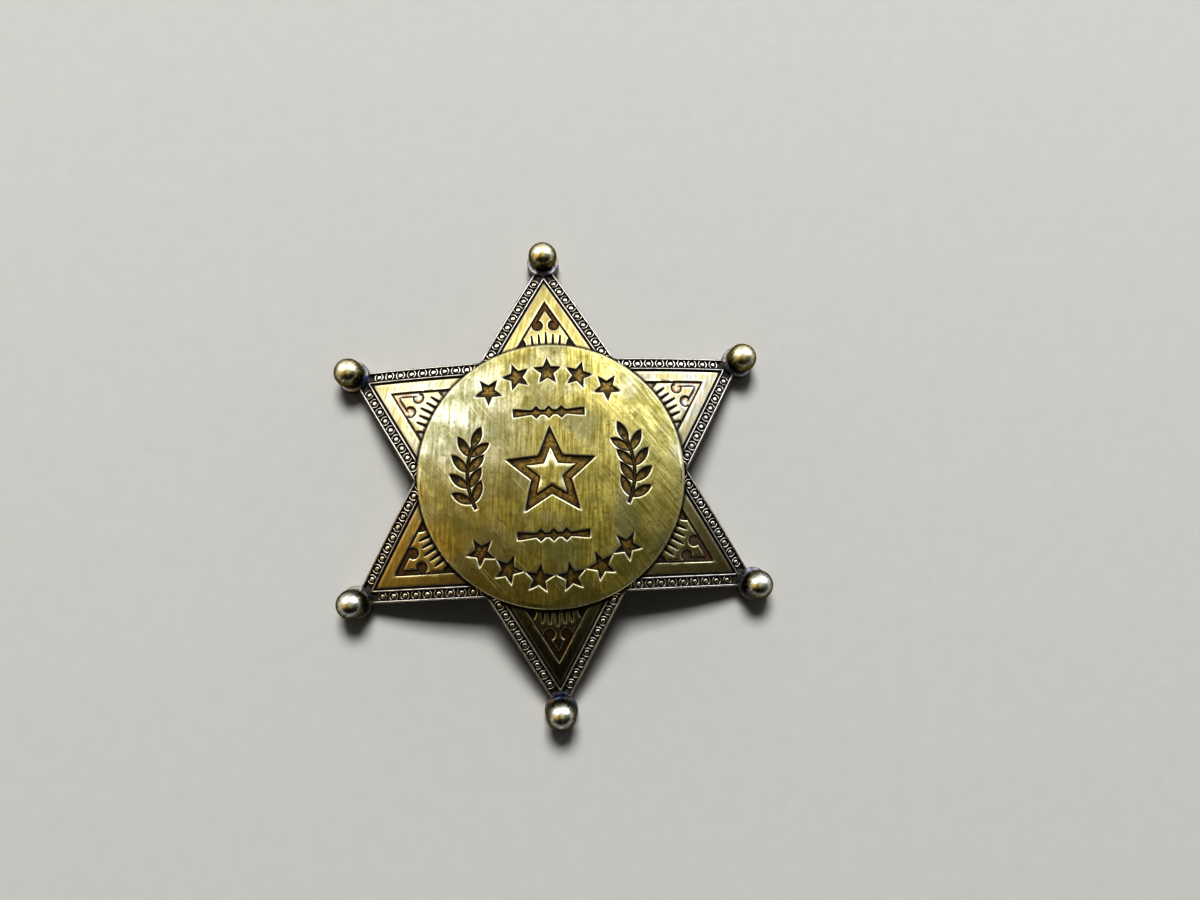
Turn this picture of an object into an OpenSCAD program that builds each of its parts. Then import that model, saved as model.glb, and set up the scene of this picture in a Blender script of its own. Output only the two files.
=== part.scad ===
// A lawman's six-pointed star badge of domed antique brass, lying on its back.
// The origin is under the middle of the star, on the surface that it lies on.
// +Z comes out of the face, +Y runs to the top point, and a point's own frame has its tip on +Y.

/* [Star] */
// Middle of the star to the sharp tip of a point
star_r = 35; // [32:0.5:42]
// Thickness of the star
plate_t = 1.6; // [1.2:0.1:2.4]
// Radius of the dome that the front of the star follows
dome_r = 90; // [80:5:130]

/* [Ball tips] */
// Diameter of the round tab under a ball
tab_d = 4.9; // [4.5:0.1:6]
// How far the middle of a tab lies inside the sharp tip
tab_back = 0.6; // [0:0.1:1.2]
// Diameter of a ball
ball_d = 4.4; // [3.6:0.1:5.5]
// Height of a ball's centre over the tab that it is soldered to
ball_rise = 1.5; // [1:0.1:1.7]

/* [Border] */
// Width of the raised edge round the star
edge_w = 0.3; // [0.2:0.05:0.6]
// Width of the sunk channel that holds the beads and reels
channel_w = 1.32; // [1.2:0.02:1.6]
// Width of the raised line inside the channel
rail_w = 0.23; // [0.15:0.01:0.4]
// Width of the groove between that line and the panel
groove_w = 0.3; // [0.2:0.05:0.5]
// Depth of the channel
channel_depth = 0.45; // [0.3:0.05:0.6]
// Depth of the groove
groove_depth = 0.35; // [0.25:0.05:0.6]
// Diameter of a bead
bead_d = 0.8; // [0.6:0.05:0.95]
// Distance from one bead to the next
bead_pitch = 1.7; // [1.6:0.05:2.2]
// Radius of the curve of a reel, which bends round its bead
reel_r = 0.66; // [0.62:0.01:0.75]
// Thickness of a reel
reel_t = 0.17; // [0.12:0.01:0.22]
// Height of a reel across the channel
reel_w = 1.04; // [0.8:0.02:1.1]

/* [Panel] */
// How far the flat panel lies below the raised edge
panel_depth = 0.15; // [0.1:0.05:0.22]
// Width of the plain band between the groove and the cut line
band_w = 1.65; // [1.2:0.05:2.4]
// Width of the cut line inside the band
line_w = 0.25; // [0.15:0.05:0.4]
// Depth of the cut line, the chevrons, the rays and the corners
cut_depth = 0.4; // [0.3:0.05:0.6]
// Width of the sunk chevron inside the line
chevron_w = 0.55; // [0.35:0.05:0.8]
// Diameter of the round lobe at each end of a chevron
lobe_d = 1.7; // [1.2:0.1:2]
// How far the lobes' centres lie outside the disc's edge
lobe_out = 3.45; // [3:0.05:4]
// How far the middle, next and outer rays reach outside the disc's edge
ray_reach = [2.3, 1.95, 1.85];
// Width of a ray at the disc and at its tip
ray_w = [0.42, 0.14];
// Angle between rays, seen from the middle of the star
ray_step = 2.9; // [2.6:0.1:3.1]
// Radius of the curved end of a sunk corner
corner_r = 2.45; // [2.2:0.05:2.7]
// How far outside the cut line that curve has its centre
corner_out = 0.8; // [0.5:0.1:1.2]

/* [Disc] */
// Diameter of the raised centre disc
disc_d = 39.5; // [38:0.5:42]
// Thickness of the disc
disc_t = 1; // [0.8:0.1:1.6]
// Radius of the disc's rounded edge
rim_round = 0.55; // [0.3:0.05:0.7]
// Depth of the disc's engraving
engrave_depth = 0.3; // [0.2:0.05:0.45]
// Clearance under the disc, and over the pin's base strip
seat_gap = 0.05; // [0.03:0.01:0.2]

/* [Engraving] */
// Middle of the centre star to its tips
emblem_r = 6.9; // [5:0.1:7.4]
// Width of the band that draws the centre star
emblem_w = 1.2; // [0.8:0.1:1.6]
// How far inside the disc's edge the small stars have their centres
mark_in = 4.45; // [3.6:0.05:5.5]
// Middle of a small star to its tips
mark_r = 2.15; // [1.6:0.05:2.2]
// Angle between small stars
mark_step = 17.5; // [17:0.5:20]
// Number of small stars above and below
mark_counts = [5, 6];
// Distance of the two dividers from the middle
divider_y = 9; // [8.6:0.1:9.6]
// Length of a divider
divider_l = 10.5; // [9:0.1:12]
// Height of a divider's diamonds
diamond_h = 1.85; // [1.4:0.05:2.2]
// Distance from one diamond to the next
diamond_pitch = 1.85; // [1.6:0.05:2]
// Height of a divider's bar at its ends and at the diamonds
bar_h = [1.2, 0.6];
// Distance of the middle of a laurel sprig from the middle of the disc
laurel_x = 12.2; // [11:0.1:13]
// Radius that a laurel sprig bends to
laurel_bend = 11; // [9:0.5:14]
// Length of a laurel leaf
leaf_l = 3.5; // [2.5:0.1:4]
// Width of a laurel leaf
leaf_w = 1.35; // [0.9:0.05:1.6]
// Width of the laurel's stem
stem_w = 0.5; // [0.35:0.05:0.7]

/* [Pin] */
// Distance of the pin above the middle of the star
pin_y = 5; // [0:0.5:7]
// Length of the pin's base strip
base_l = 34; // [28:1:36]
// Width of the base strip
base_w = 4; // [3:0.5:6]
// Thickness of the base strip
base_t = 0.8; // [0.6:0.1:1.2]
// Diameter of the pin's stem
needle_d = 1; // [0.8:0.1:1.2]
// Height of the stem's centre over the surface that the badge lies on
needle_z = 2.3; // [2:0.1:2.8]
// Diameter of the hinge barrel
barrel_d = 2.4; // [2:0.1:3]
// Length of the catch along the stem
catch_l = 2.2; // [1.6:0.1:3]
// How far the point of the stem reaches past the catch
point_l = 2; // [1:0.5:3]
// Clearance round the stem in the catch
pin_gap = 0.15; // [0.1:0.05:0.3]

/* [Hidden] */
// Facets of the domes, the beads and balls, and the flat curves
dome_fn = 360;
ball_fn = 48;
curve_fn = 48;
tab_at = star_r - tab_back;
back_r = dome_r - plate_t;
// The domes' common centre: the back meets the resting surface at the middle of each tab
dome_drop = sqrt(back_r * back_r - tab_at * tab_at);
crown_z = dome_r - dome_drop;
disc_r = disc_d / 2;
disc_foot_r = dome_r + seat_gap;
disc_top_r = disc_foot_r + disc_t;
// Distances inwards from the outline to each part of the border
channel_in = edge_w;
rail_in = channel_in + channel_w;
groove_in = rail_in + rail_w;
panel_in = groove_in + groove_w;
line_in = panel_in + band_w;
chevron_in = line_in + line_w;
field_in = chevron_in + chevron_w;
// The relief runs on a little way under the rim of the disc
under_rim = 1;
// A cut prism reaches from below the surface to above the crown
cut_top = crown_z + disc_t + 2;
// The first bead's distance from the notch, as a share of the pitch
bead_start = 0.45;
brass = [0.72, 0.6, 0.33];
pale_brass = [0.8, 0.68, 0.36];
steel_brass = [0.62, 0.54, 0.34];

// Height over the resting surface, at a distance r out, of the ball of radius dome
function height(dome, r) = sqrt(dome * dome - r * r) - dome_drop;

// Corner points of a star of n points, with outer radius r and inner radius s
function star_points(n, r, s) = [
    for (i = [0 : 2 * n - 1])
        let (a = 90 + 180 * i / n, q = i % 2 == 0 ? r : s)
            [q * cos(a), q * sin(a)]
];

module dome_ball(r) {
    translate([0, 0, -dome_drop]) sphere(r, $fn = dome_fn);
}

module six() {
    for (k = [0 : 5]) rotate(60 * k) children();
}

module both_sides() {
    for (m = [0, 1]) mirror([m, 0, 0]) children();
}

// The star's outline moved inwards by d: a tip moves by 2 d, and the tips are 60 degrees sharp
module outline(d) {
    tip = star_r - 2 * d;
    polygon(star_points(6, tip, tip / sqrt(3)));
}

module outline_band(from, to) {
    difference() {
        outline(from);
        outline(to);
    }
}

module tabs() {
    six() translate([0, tab_at]) circle(d = tab_d, $fn = curve_fn);
}

// Cuts the flat shape given to it down to the ball of radius floor_r
module sunk(floor_r) {
    difference() {
        translate([0, 0, -1]) linear_extrude(cut_top + 1) children();
        dome_ball(floor_r);
    }
}

// Keeps relief clear of the tabs and of the seat under the disc
module clear_of_seats() {
    difference() {
        children();
        tabs();
        circle(disc_r - under_rim, $fn = 4 * curve_fn);
    }
}

// Beads and reels stand along a line in the middle of the channel, from the notch to the tip
run_in = channel_in + channel_w / 2;
run_tip = star_r - 2 * run_in;
run_l = run_tip / sqrt(3);
run_notch = [run_tip / (2 * sqrt(3)), run_tip / 2];
// The tab's middle lies beside the line and past its end, and the last reel stops short of the tab
tab_beside = run_in - tab_back / 2;
tab_past = (tab_at - run_tip) * cos(30);
tab_clear = tab_d / 2 + reel_r + reel_t;
run_end = run_l + tab_past - sqrt(tab_clear * tab_clear - tab_beside * tab_beside);
bead_places = [for (s = [bead_start * bead_pitch : bead_pitch : run_end]) s];
// A bead stands whole in the channel, outside the seat under the disc
bead_from_r = disc_r - under_rim + 0.6 * bead_d;

// A place on the line, in the frame of a point
function on_run(s) = run_notch + s * [-1 / 2, sqrt(3) / 2];

module reels() {
    six() both_sides() translate(run_notch) rotate(120)
        for (s = bead_places) translate([s, 0]) intersection() {
            difference() {
                circle(reel_r + reel_t / 2, $fn = curve_fn);
                circle(reel_r - reel_t / 2, $fn = curve_fn);
            }
            square([3 * reel_r, reel_w], center = true);
        }
}

module beads() {
    floor_r = dome_r - channel_depth;
    six() both_sides() for (s = bead_places) {
        p = on_run(s);
        if (norm(p) > bead_from_r)
            translate([p[0], p[1], height(floor_r, norm(p))]) sphere(d = bead_d, $fn = ball_fn / 2);
    }
}

module chevrons() {
    lobe_y = disc_r + lobe_out;
    lobe_in = chevron_in + lobe_d / 2 - line_w / 4;
    lobe_x = ((star_r - lobe_y) / 2 - lobe_in) / cos(30);
    intersection() {
        outline_band(chevron_in - line_w / 2, field_in);
        six() translate([-star_r / 2, lobe_y]) square([star_r, star_r]);
    }
    six() both_sides() translate([lobe_x, lobe_y]) circle(d = lobe_d, $fn = curve_fn);
}

module rays() {
    foot = disc_r - under_rim / 2;
    six() for (i = [-2 : 2]) rotate(-ray_step * i) {
        tip = disc_r + ray_reach[abs(i)];
        polygon([
            [-ray_w[0] / 2, foot], [ray_w[0] / 2, foot],
            [ray_w[1] / 2, tip], [-ray_w[1] / 2, tip]
        ]);
    }
}

// The sunk corners lie between the cut line and the disc's edge, behind a curve
module corners() {
    line_r = (star_r - 2 * line_in) / 2;
    a = 60 - acos(line_r / disc_r);
    c = disc_r * [sin(a), cos(a)] + corner_out * [cos(30), sin(30)];
    intersection() {
        outline(chevron_in - line_w / 2);
        six() both_sides() translate(c) circle(corner_r, $fn = curve_fn);
    }
}

module star_plate() {
    color(brass) union() {
        difference() {
            intersection() {
                dome_ball(dome_r);
                linear_extrude(cut_top) {
                    outline(0);
                    tabs();
                }
            }
            dome_ball(back_r);
            sunk(dome_r - channel_depth) clear_of_seats() difference() {
                outline_band(channel_in, rail_in);
                reels();
            }
            sunk(dome_r - groove_depth) clear_of_seats() outline_band(groove_in, panel_in);
            sunk(dome_r - panel_depth) clear_of_seats() outline(panel_in - groove_w / 2);
            sunk(dome_r - cut_depth) clear_of_seats() {
                outline_band(line_in, chevron_in);
                chevrons();
                rays();
                corners();
            }
        }
        beads();
        six() ball_tip();
    }
}

// A ball is soldered to its tab, so it is one metal with the star
module ball_tip() {
    lean = asin(tab_at / dome_r);
    ball_way = (dome_r + ball_rise) * [0, sin(lean), cos(lean)];
    translate(ball_way - [0, 0, dome_drop]) sphere(d = ball_d, $fn = ball_fn);
}

module emblem() {
    share = 0.45;
    // A band of even width: the inner star's tips draw back by the width over the sine of half a tip
    tip_half = atan(share * sin(36) / (1 - share * cos(36)));
    inner_r = emblem_r - emblem_w / sin(tip_half);
    difference() {
        polygon(star_points(5, emblem_r, share * emblem_r));
        polygon(star_points(5, inner_r, share * inner_r));
    }
}

module marks() {
    for (row = [0, 1]) {
        n = mark_counts[row];
        for (i = [0 : n - 1]) rotate(180 * row + mark_step * (i - (n - 1) / 2))
            translate([0, disc_r - mark_in]) rotate(180 * row) polygon(star_points(5, mark_r, 0.42 * mark_r));
    }
}

// A divider's bar narrows from its ends to three diamonds
module divider() {
    bar_in = 1.5 * diamond_pitch;
    both_sides() polygon([
        [0, -bar_h[1] / 2], [bar_in, -bar_h[1] / 2], [divider_l / 2, -bar_h[0] / 2],
        [divider_l / 2, bar_h[0] / 2], [bar_in, bar_h[1] / 2], [0, bar_h[1] / 2]
    ]);
    for (i = [-1 : 1]) translate([i * diamond_pitch, 0]) rotate(45)
        square(diamond_h / sqrt(2), center = true);
}

// A leaf is where two circles cross, with its foot at the origin and its tip on +Y
module leaf() {
    leaf_r = (leaf_l * leaf_l + leaf_w * leaf_w) / (4 * leaf_w);
    intersection_for (m = [-1, 1])
        translate([m * (leaf_r - leaf_w / 2), leaf_l / 2]) circle(leaf_r, $fn = 2 * curve_fn);
}

// A laurel sprig: four pairs of leaves and a last one along a stem that bends round the disc's middle
module laurel() {
    from = -26;
    to = 24;
    pairs = 4;
    foot_a = 5;
    leaf_step = (to - from - foot_a + 3) / pairs;
    leaf_lean = 42;
    far = 2 * laurel_bend;
    translate([laurel_x - laurel_bend, 0]) {
        intersection() {
            difference() {
                circle(laurel_bend + stem_w / 2, $fn = 2 * curve_fn);
                circle(laurel_bend - stem_w / 2, $fn = 2 * curve_fn);
            }
            polygon([[0, 0], far * [cos(from), sin(from)], [far, 0], far * [cos(to), sin(to)]]);
        }
        for (i = [0 : pairs - 1], side = [-1, 1])
            rotate(from + foot_a + leaf_step * i) translate([laurel_bend, 0]) rotate(side * leaf_lean) leaf();
        rotate(to) translate([laurel_bend, -stem_w]) leaf();
    }
}

module engraving() {
    emblem();
    marks();
    for (side = [-1, 1]) translate([0, side * divider_y]) divider();
    both_sides() laurel();
}

// The rim's section: its upper edge is rounded where the domed top comes down to it
module rim_section() {
    edge_z = height(disc_top_r, disc_r - rim_round);
    top_z = cut_top + disc_t;
    polygon(concat(
        [[0, -1], [disc_r, -1]],
        [for (i = [0 : 6]) let (a = 15 * i)
            [disc_r - rim_round + rim_round * cos(a), edge_z - rim_round + rim_round * sin(a)]],
        [[disc_r - 2 * rim_round, edge_z + rim_round / 8], [0, top_z]]
    ));
}

module centre_disc() {
    color(pale_brass) difference() {
        intersection() {
            dome_ball(disc_top_r);
            rotate_extrude($fn = 4 * curve_fn) rim_section();
        }
        dome_ball(disc_foot_r);
        sunk(disc_top_r - engrave_depth) engraving();
    }
}

// The base strip, hinge and catch hang under the hollow back, all clear of the resting surface
module back_pin() {
    foot_r = back_r - seat_gap;
    low_z = needle_z - barrel_d / 2;
    hinge_x = -base_l / 2 + barrel_d / 2;
    catch_x = base_l / 2 - catch_l;
    slot_d = needle_d + 2 * pin_gap;
    color(steel_brass) translate([0, pin_y, 0]) {
        difference() {
            intersection() {
                translate([0, -pin_y, 0]) dome_ball(foot_r);
                union() {
                    difference() {
                        translate([-base_l / 2, -base_w / 2, low_z]) cube([base_l, base_w, cut_top]);
                        translate([0, -pin_y, 0]) dome_ball(foot_r - base_t);
                    }
                    translate([hinge_x - barrel_d / 2, -base_w / 2, needle_z])
                        cube([barrel_d, base_w, cut_top]);
                    translate([catch_x, -base_w / 2, low_z]) cube([catch_l, base_w, cut_top]);
                }
            }
            translate([catch_x - 1, 0, needle_z]) rotate([0, 90, 0])
                cylinder(h = catch_l + 2, d = slot_d, $fn = curve_fn);
            translate([catch_x - 1, 0, needle_z - slot_d / 2]) cube([catch_l + 2, base_w, slot_d]);
        }
        translate([hinge_x, -base_w / 2, needle_z]) rotate([-90, 0, 0])
            cylinder(h = base_w, d = barrel_d, $fn = curve_fn);
        translate([hinge_x, 0, needle_z]) rotate([0, 90, 0]) {
            cylinder(h = catch_x + catch_l - hinge_x, d = needle_d, $fn = curve_fn);
            translate([0, 0, catch_x + catch_l - hinge_x])
                cylinder(h = point_l, d1 = needle_d, d2 = needle_d / 5, $fn = curve_fn);
        }
    }
}

star_plate();
centre_disc();
back_pin();
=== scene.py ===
# %% [markdown]
# # A lawman's star badge in antique brass
# The badge lies on its back, as a dealer would lay it down to photograph it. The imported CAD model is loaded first, as
# a fixed frame, and every piece made here is fitted to it. Looks are all that this script adds: crisp relief, brushed
# and tarnished metal, and soft light. A relief this fine could be sculpted by hand or displaced from a drawn picture.
# Here it is worked out from distances to outlines, because that keeps every wall sharp and every size named.

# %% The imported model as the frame
import math

import bpy
import numpy as np
from mathutils import Matrix, Vector
from mathutils.geometry import delaunay_2d_cdt


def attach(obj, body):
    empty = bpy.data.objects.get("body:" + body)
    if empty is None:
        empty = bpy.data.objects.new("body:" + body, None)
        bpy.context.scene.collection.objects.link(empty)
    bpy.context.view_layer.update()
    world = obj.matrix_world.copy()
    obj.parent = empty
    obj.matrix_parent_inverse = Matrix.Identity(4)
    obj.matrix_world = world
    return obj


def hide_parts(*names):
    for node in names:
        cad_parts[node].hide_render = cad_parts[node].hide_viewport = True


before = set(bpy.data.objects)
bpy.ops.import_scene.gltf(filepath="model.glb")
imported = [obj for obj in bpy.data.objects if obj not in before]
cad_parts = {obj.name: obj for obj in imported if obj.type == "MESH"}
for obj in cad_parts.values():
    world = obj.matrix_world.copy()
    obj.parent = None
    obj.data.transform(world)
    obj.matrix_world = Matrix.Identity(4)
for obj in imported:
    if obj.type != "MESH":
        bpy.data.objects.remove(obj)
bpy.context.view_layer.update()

MM = 0.001
print("frame loaded:", sorted(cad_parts))

# %% [markdown]
# ## Camera
# The badge was photographed from almost straight above, a hand's length away, with the lower points a little nearer.
# The camera stands where the six balls, the six notches and the disc's rim all fall where the photograph has them.
# An orthographic camera would be simpler, but the far points would then come out too large.

# %% Camera
EYE = Vector((0.4846, -18.971, 153.506)) * MM
LOOK = Vector((0.04618, 0.1506, -0.98752)).normalized()
RIGHT = Vector((0.99805, -0.04863, 0.03925))
RIGHT = (RIGHT - RIGHT.dot(LOOK) * LOOK).normalized()
UP = RIGHT.cross(LOOK)
camera = bpy.data.objects.new("camera", bpy.data.cameras.new("camera"))
bpy.context.scene.collection.objects.link(camera)
camera.matrix_world = Matrix.Translation(EYE) @ Matrix((RIGHT, UP, -LOOK)).transposed().to_4x4()
camera.data.sensor_width = 36
camera.data.lens = 30
camera.data.clip_start = 0.005
bpy.context.scene.camera = camera


def seen_at(x, y, z):
    """Where a place on the badge, in millimetres, falls in the 1200 by 900 image."""
    way = Vector((x, y, z)) * MM - EYE
    focal = camera.data.lens / camera.data.sensor_width * 1200 / way.dot(LOOK)
    return round(600 + focal * way.dot(RIGHT), 1), round(450 - focal * way.dot(UP), 1)


print("top ball falls at", seen_at(0, 34.97, 3.1), "and the bottom one at", seen_at(0, -34.97, 3.1))

# %% [markdown]
# ## Sizes
# All sizes are in millimetres and the same as in the part's source. A star's outline moved inwards by a distance stays
# a star, and its tips draw back by twice that distance, because they are 60 degrees sharp. So one number, the distance
# from the outline, says where each line of the border lies.

# %% Sizes of the star, its border and the disc
# Middle of the star to a sharp tip, and the plate's thickness
STAR_R = 35
PLATE_T = 1.6
# The dome that the front follows
DOME_R = 90
# The round tab under each ball, and how far out it lies
TAB_R = 4.9 / 2
TAB_AT = 34.4
# The ball, and how high its middle stands over the dome
BALL_R = 4.4 / 2
BALL_RISE = 1.5
# The disc, the radii of the domes that its underside and its top follow, and its rounded rim
DISC_R = 39.5 / 2
DISC_FOOT = DOME_R + 0.05
DISC_TOP = DISC_FOOT + 1
RIM_ROUND = 0.55
# Inside this the star is plain, because the disc hides it
SEAT_R = DISC_R - 1
# The raised edge, the channel for the beads, and how deep the cuts are
EDGE_W = 0.3
CHANNEL_W = 1.32
CHANNEL_DEPTH = 0.45
PANEL_DEPTH = 0.15
CUT_DEPTH = 0.4
ENGRAVE_DEPTH = 0.3
# The dome of the plate's back, and how far below the tabs the middle of all the domes lies
BACK_R = DOME_R - PLATE_T
DOME_DROP = math.sqrt(BACK_R ** 2 - TAB_AT ** 2)
COS30 = math.cos(math.radians(30))
print("dome crown at", round(DOME_R - DOME_DROP, 2), "mm")

# %% [markdown]
# ## Distances
# A die sinker draws outlines first and then cuts down beside them. The same is done here: each place on the badge
# gets its distance to the nearest outline, below nought inside a cut, and a short table turns that distance into a
# depth. The points of the star are all alike, so places are first folded into the frame of one point.


# %% Distances to outlines
def in_point(p):
    """How far places lie beside the middle line of their own star point, and how far out along it."""
    turn = np.round(np.arctan2(p[:, 0], p[:, 1]) / (math.pi / 3)) * (math.pi / 3)
    return p[:, 0] * np.cos(turn) - p[:, 1] * np.sin(turn), p[:, 0] * np.sin(turn) + p[:, 1] * np.cos(turn)


def from_edge(p):
    """Distance inwards from the star's sharp outline."""
    beside, out = in_point(p)
    return (STAR_R - out) / 2 - np.abs(beside) * COS30


def from_tab(p):
    """Distance from the middle of the nearest round tab."""
    beside, out = in_point(p)
    return np.hypot(beside, out - TAB_AT)


def gap_to(p, ring):
    """Distance to a closed outline, below nought inside it."""
    gap = np.full(len(p), 99.0)
    inside = np.zeros(len(p), bool)
    for a, b in zip(ring, np.roll(ring, -1, axis=0)):
        run = b - a
        along = np.clip((p - a) @ run / (run @ run), 0, 1)
        gap = np.minimum(gap, np.linalg.norm(p - a - along[:, None] * run, axis=1))
        level_with = (a[1] > p[:, 1]) != (b[1] > p[:, 1])
        inside ^= level_with & (p[:, 0] < a[0] + (p[:, 1] - a[1]) * run[0] / (run[1] or 1e-9))
    return np.where(inside, -gap, gap)


# How far from a cut its distance is still worked out
CUT_REACH = 1.0


def gap_to_cuts(p, rings):
    """Distance to the nearest of several cuts, worked out only close to each."""
    gap = np.full(len(p), CUT_REACH)
    for ring in rings:
        near = ((p > ring.min(0) - CUT_REACH) & (p < ring.max(0) + CUT_REACH)).all(1)
        gap[near] = np.minimum(gap[near], gap_to(p[near], ring))
    return gap


notch_far_out = np.array([[0.0, STAR_R / math.sqrt(3)]])
print("as far out as a notch, a point's middle lies", from_edge(notch_far_out)[0].round(2), "mm inside its outline")


# %% Outlines and how they grow
def circle(x, y, r, n=32):
    a = np.arange(n) * 2 * math.pi / n
    return np.stack([x + r * np.cos(a), y + r * np.sin(a)], axis=1)


def star(n, outer, inner, x=0.0, y=0.0, turn=0.0):
    """A star's corners, anticlockwise from its top."""
    a = math.radians(90 + turn) + np.arange(2 * n) * math.pi / n
    r = np.where(np.arange(2 * n) % 2 == 0, outer, inner)
    return np.stack([x + r * np.cos(a), y + r * np.sin(a)], axis=1)


def grown(ring, by):
    """An outline moved outwards by a distance, with its corners kept sharp."""
    x, y = ring.T
    ring = ring if np.sum(x * np.roll(y, -1) - np.roll(x, -1) * y) > 0 else ring[::-1]
    ahead = np.roll(ring, -1, axis=0) - ring
    out = np.stack([ahead[:, 1], -ahead[:, 0]], axis=1) / np.linalg.norm(ahead, axis=1)[:, None]
    before = np.roll(out, 1, axis=0)
    return ring + by * (out + before) / (1 + (out * before).sum(1))[:, None]


def split(ring, step):
    """Adds points to an outline until none of its runs is longer than step."""
    out = []
    for a, b in zip(ring, np.roll(ring, -1, axis=0)):
        n = max(1, math.ceil(np.linalg.norm(b - a) / step))
        out += [a + (b - a) * i / n for i in range(n)]
    return np.array(out)


def turned(ring, angle):
    c, s = math.cos(angle), math.sin(angle)
    return ring @ np.array([[c, s], [-s, c]])


def mirrored(ring):
    return ring * (-1, 1)


print("a star of", len(star(6, STAR_R, STAR_R / math.sqrt(3))), "corners")

# %% [markdown]
# ## A sheet of metal from a drawing
# Relief could be cut with Boolean modifiers, but dozens of thin cuts in a domed plate leave ragged shading. A grid
# fine enough for the walls would need millions of faces. So the outlines are drawn flat, Blender's own triangulator
# fills them so that every wall has its edges, and each point is then lifted to its height. The same flat sheet,
# turned over, makes the back, and a strip joins the two at the rim, so each piece is closed.


# %% A drawing of points and straight runs
class Drawing:
    """Points and straight runs that the triangles of a sheet have to follow."""

    def __init__(self):
        self.points = []
        self.runs = []

    def line(self, ring, step, keep=None):
        """Adds a closed outline, or only the parts of it where keep() is true."""
        ring = split(ring, step)
        n = len(ring)
        wanted = np.ones(n, bool) if keep is None else keep(ring)
        first = len(self.points)
        self.points += [Vector(p) for p in ring]
        self.runs += [(first + i, first + (i + 1) % n) for i in range(n) if wanted[i] and wanted[(i + 1) % n]]
        if not wanted.all():
            self.drop_loose(first)

    def drop_loose(self, first):
        """Drops the points from a place in the list on that no run has."""
        used = sorted({i for run in self.runs for i in run if i >= first})
        place = {old: first + new for new, old in enumerate(used)}
        self.points[first:] = [self.points[i] for i in used]
        self.runs = [tuple(place.get(i, i) for i in run) for run in self.runs]

    def dots(self, p):
        self.points += [Vector(q) for q in p]


sample = Drawing()
sample.line(circle(0, 0, TAB_R), 0.5)
print("a tab's outline, drawn:", len(sample.points), "points and", len(sample.runs), "runs")


# %% Triangles that fill a drawing
def dot_grid(reach, step):
    """Points in rows, every other row moved by half a step."""
    n = int(reach / step) + 1
    across, up = np.meshgrid(np.arange(-n, n + 1), np.arange(-n, n + 1))
    return np.stack([(across + 0.5 * (up % 2)).ravel() * step, up.ravel() * step * COS30], axis=1)


def flat_sheet(drawing, inside):
    """Triangles that follow a drawing, and keep to where inside() is true."""
    points, _, faces, *_ = delaunay_2d_cdt(drawing.points, drawing.runs, [], 0, 1e-4)
    points = np.array([p[:] for p in points])
    faces = np.array([f for f in faces if len(f) == 3])
    faces = faces[inside(points[faces].mean(1))]
    a, b, c = points[faces].transpose(1, 2, 0)
    area = (b[0] - a[0]) * (c[1] - a[1]) - (c[0] - a[0]) * (b[1] - a[1])
    faces[area < 0] = faces[area < 0][:, ::-1]
    used, faces = np.unique(faces, return_inverse=True)
    return points[used], faces.reshape(-1, 3)


filled = flat_sheet(sample, lambda p: np.hypot(*p.T) < TAB_R)
print("the same outline, filled:", len(filled[1]), "triangles")


# %% Lifting a flat sheet into a closed solid
def triangles_of(mesh):
    return sum(len(p.vertices) - 2 for p in mesh.polygons)


def slopes(p, height):
    """Normals of a height at places, from how it changes over a small step."""
    step = 0.02
    along_x = height(p + (step, 0)) - height(p - (step, 0))
    along_y = height(p + (0, step)) - height(p - (0, step))
    n = np.stack([-along_x, -along_y, np.full(len(p), 2 * step)], axis=1)
    return n / np.linalg.norm(n, axis=1)[:, None]


def rim_of(faces):
    """The rim's edges, in the direction of their own triangles."""
    edges = np.concatenate([faces[:, [0, 1]], faces[:, [1, 2]], faces[:, [2, 0]]])
    both = {tuple(e) for e in edges}
    return np.array([e for e in edges if (e[1], e[0]) not in both])


def wall_ways(points, rim):
    """Normals for the wall at the rim, smooth round bends and sharp at corners."""
    out = points[rim[:, 1]] - points[rim[:, 0]]
    out = np.stack([out[:, 1], -out[:, 0], np.zeros(len(out))], axis=1)
    out /= np.linalg.norm(out, axis=1)[:, None]
    after = {a: i for i, (a, _) in enumerate(rim)}
    before = {b: i for i, (_, b) in enumerate(rim)}

    def wall_way(i, other):
        both = out[i] + out[other]
        return out[i] if out[i] @ out[other] < 0.8 else both / np.linalg.norm(both)

    ways = []
    for i, (a, b) in enumerate(rim):
        start, end = wall_way(i, before[a]), wall_way(i, after[b])
        ways.append([start, end, end, start])
    return ways


def lifted_sheet(name, points, faces, top, back):
    """A closed solid with a top and a back over the same flat sheet, shaded by its exact slopes."""
    n = len(points)
    rim = rim_of(faces)
    verts = np.concatenate([np.column_stack([points, top(points)]), np.column_stack([points, back(points)])])
    wall = [(a + n, b + n, b, a) for a, b in rim]
    mesh = bpy.data.meshes.new(name)
    mesh.from_pydata((verts * MM).tolist(), [], faces.tolist() + (faces[:, ::-1] + n).tolist() + wall)
    up = slopes(points, top)
    down = -slopes(points, back)
    ways = [up[faces].reshape(-1, 3), down[faces[:, ::-1]].reshape(-1, 3), *wall_ways(points, rim)]
    mesh.polygons.foreach_set("use_smooth", np.ones(len(mesh.polygons), bool))
    mesh.normals_split_custom_set(np.concatenate(ways).tolist())
    piece = bpy.data.objects.new(name, mesh)
    bpy.context.scene.collection.objects.link(piece)
    print(name, "has", len(mesh.vertices), "points and", triangles_of(mesh), "triangles")
    return piece


print("the filled outline's rim has", len(rim_of(filled[1])), "edges")


# %% Values kept with the points, and heights
def note(piece, name, values):
    """Keeps a value for each point of a sheet's top, for the finish to read; the back gets nought."""
    values = np.concatenate([values, np.zeros(len(piece.data.vertices) - len(values))])
    piece.data.attributes.new(name, "FLOAT", "POINT").data.foreach_set("value", values.astype(np.float32))


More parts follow.
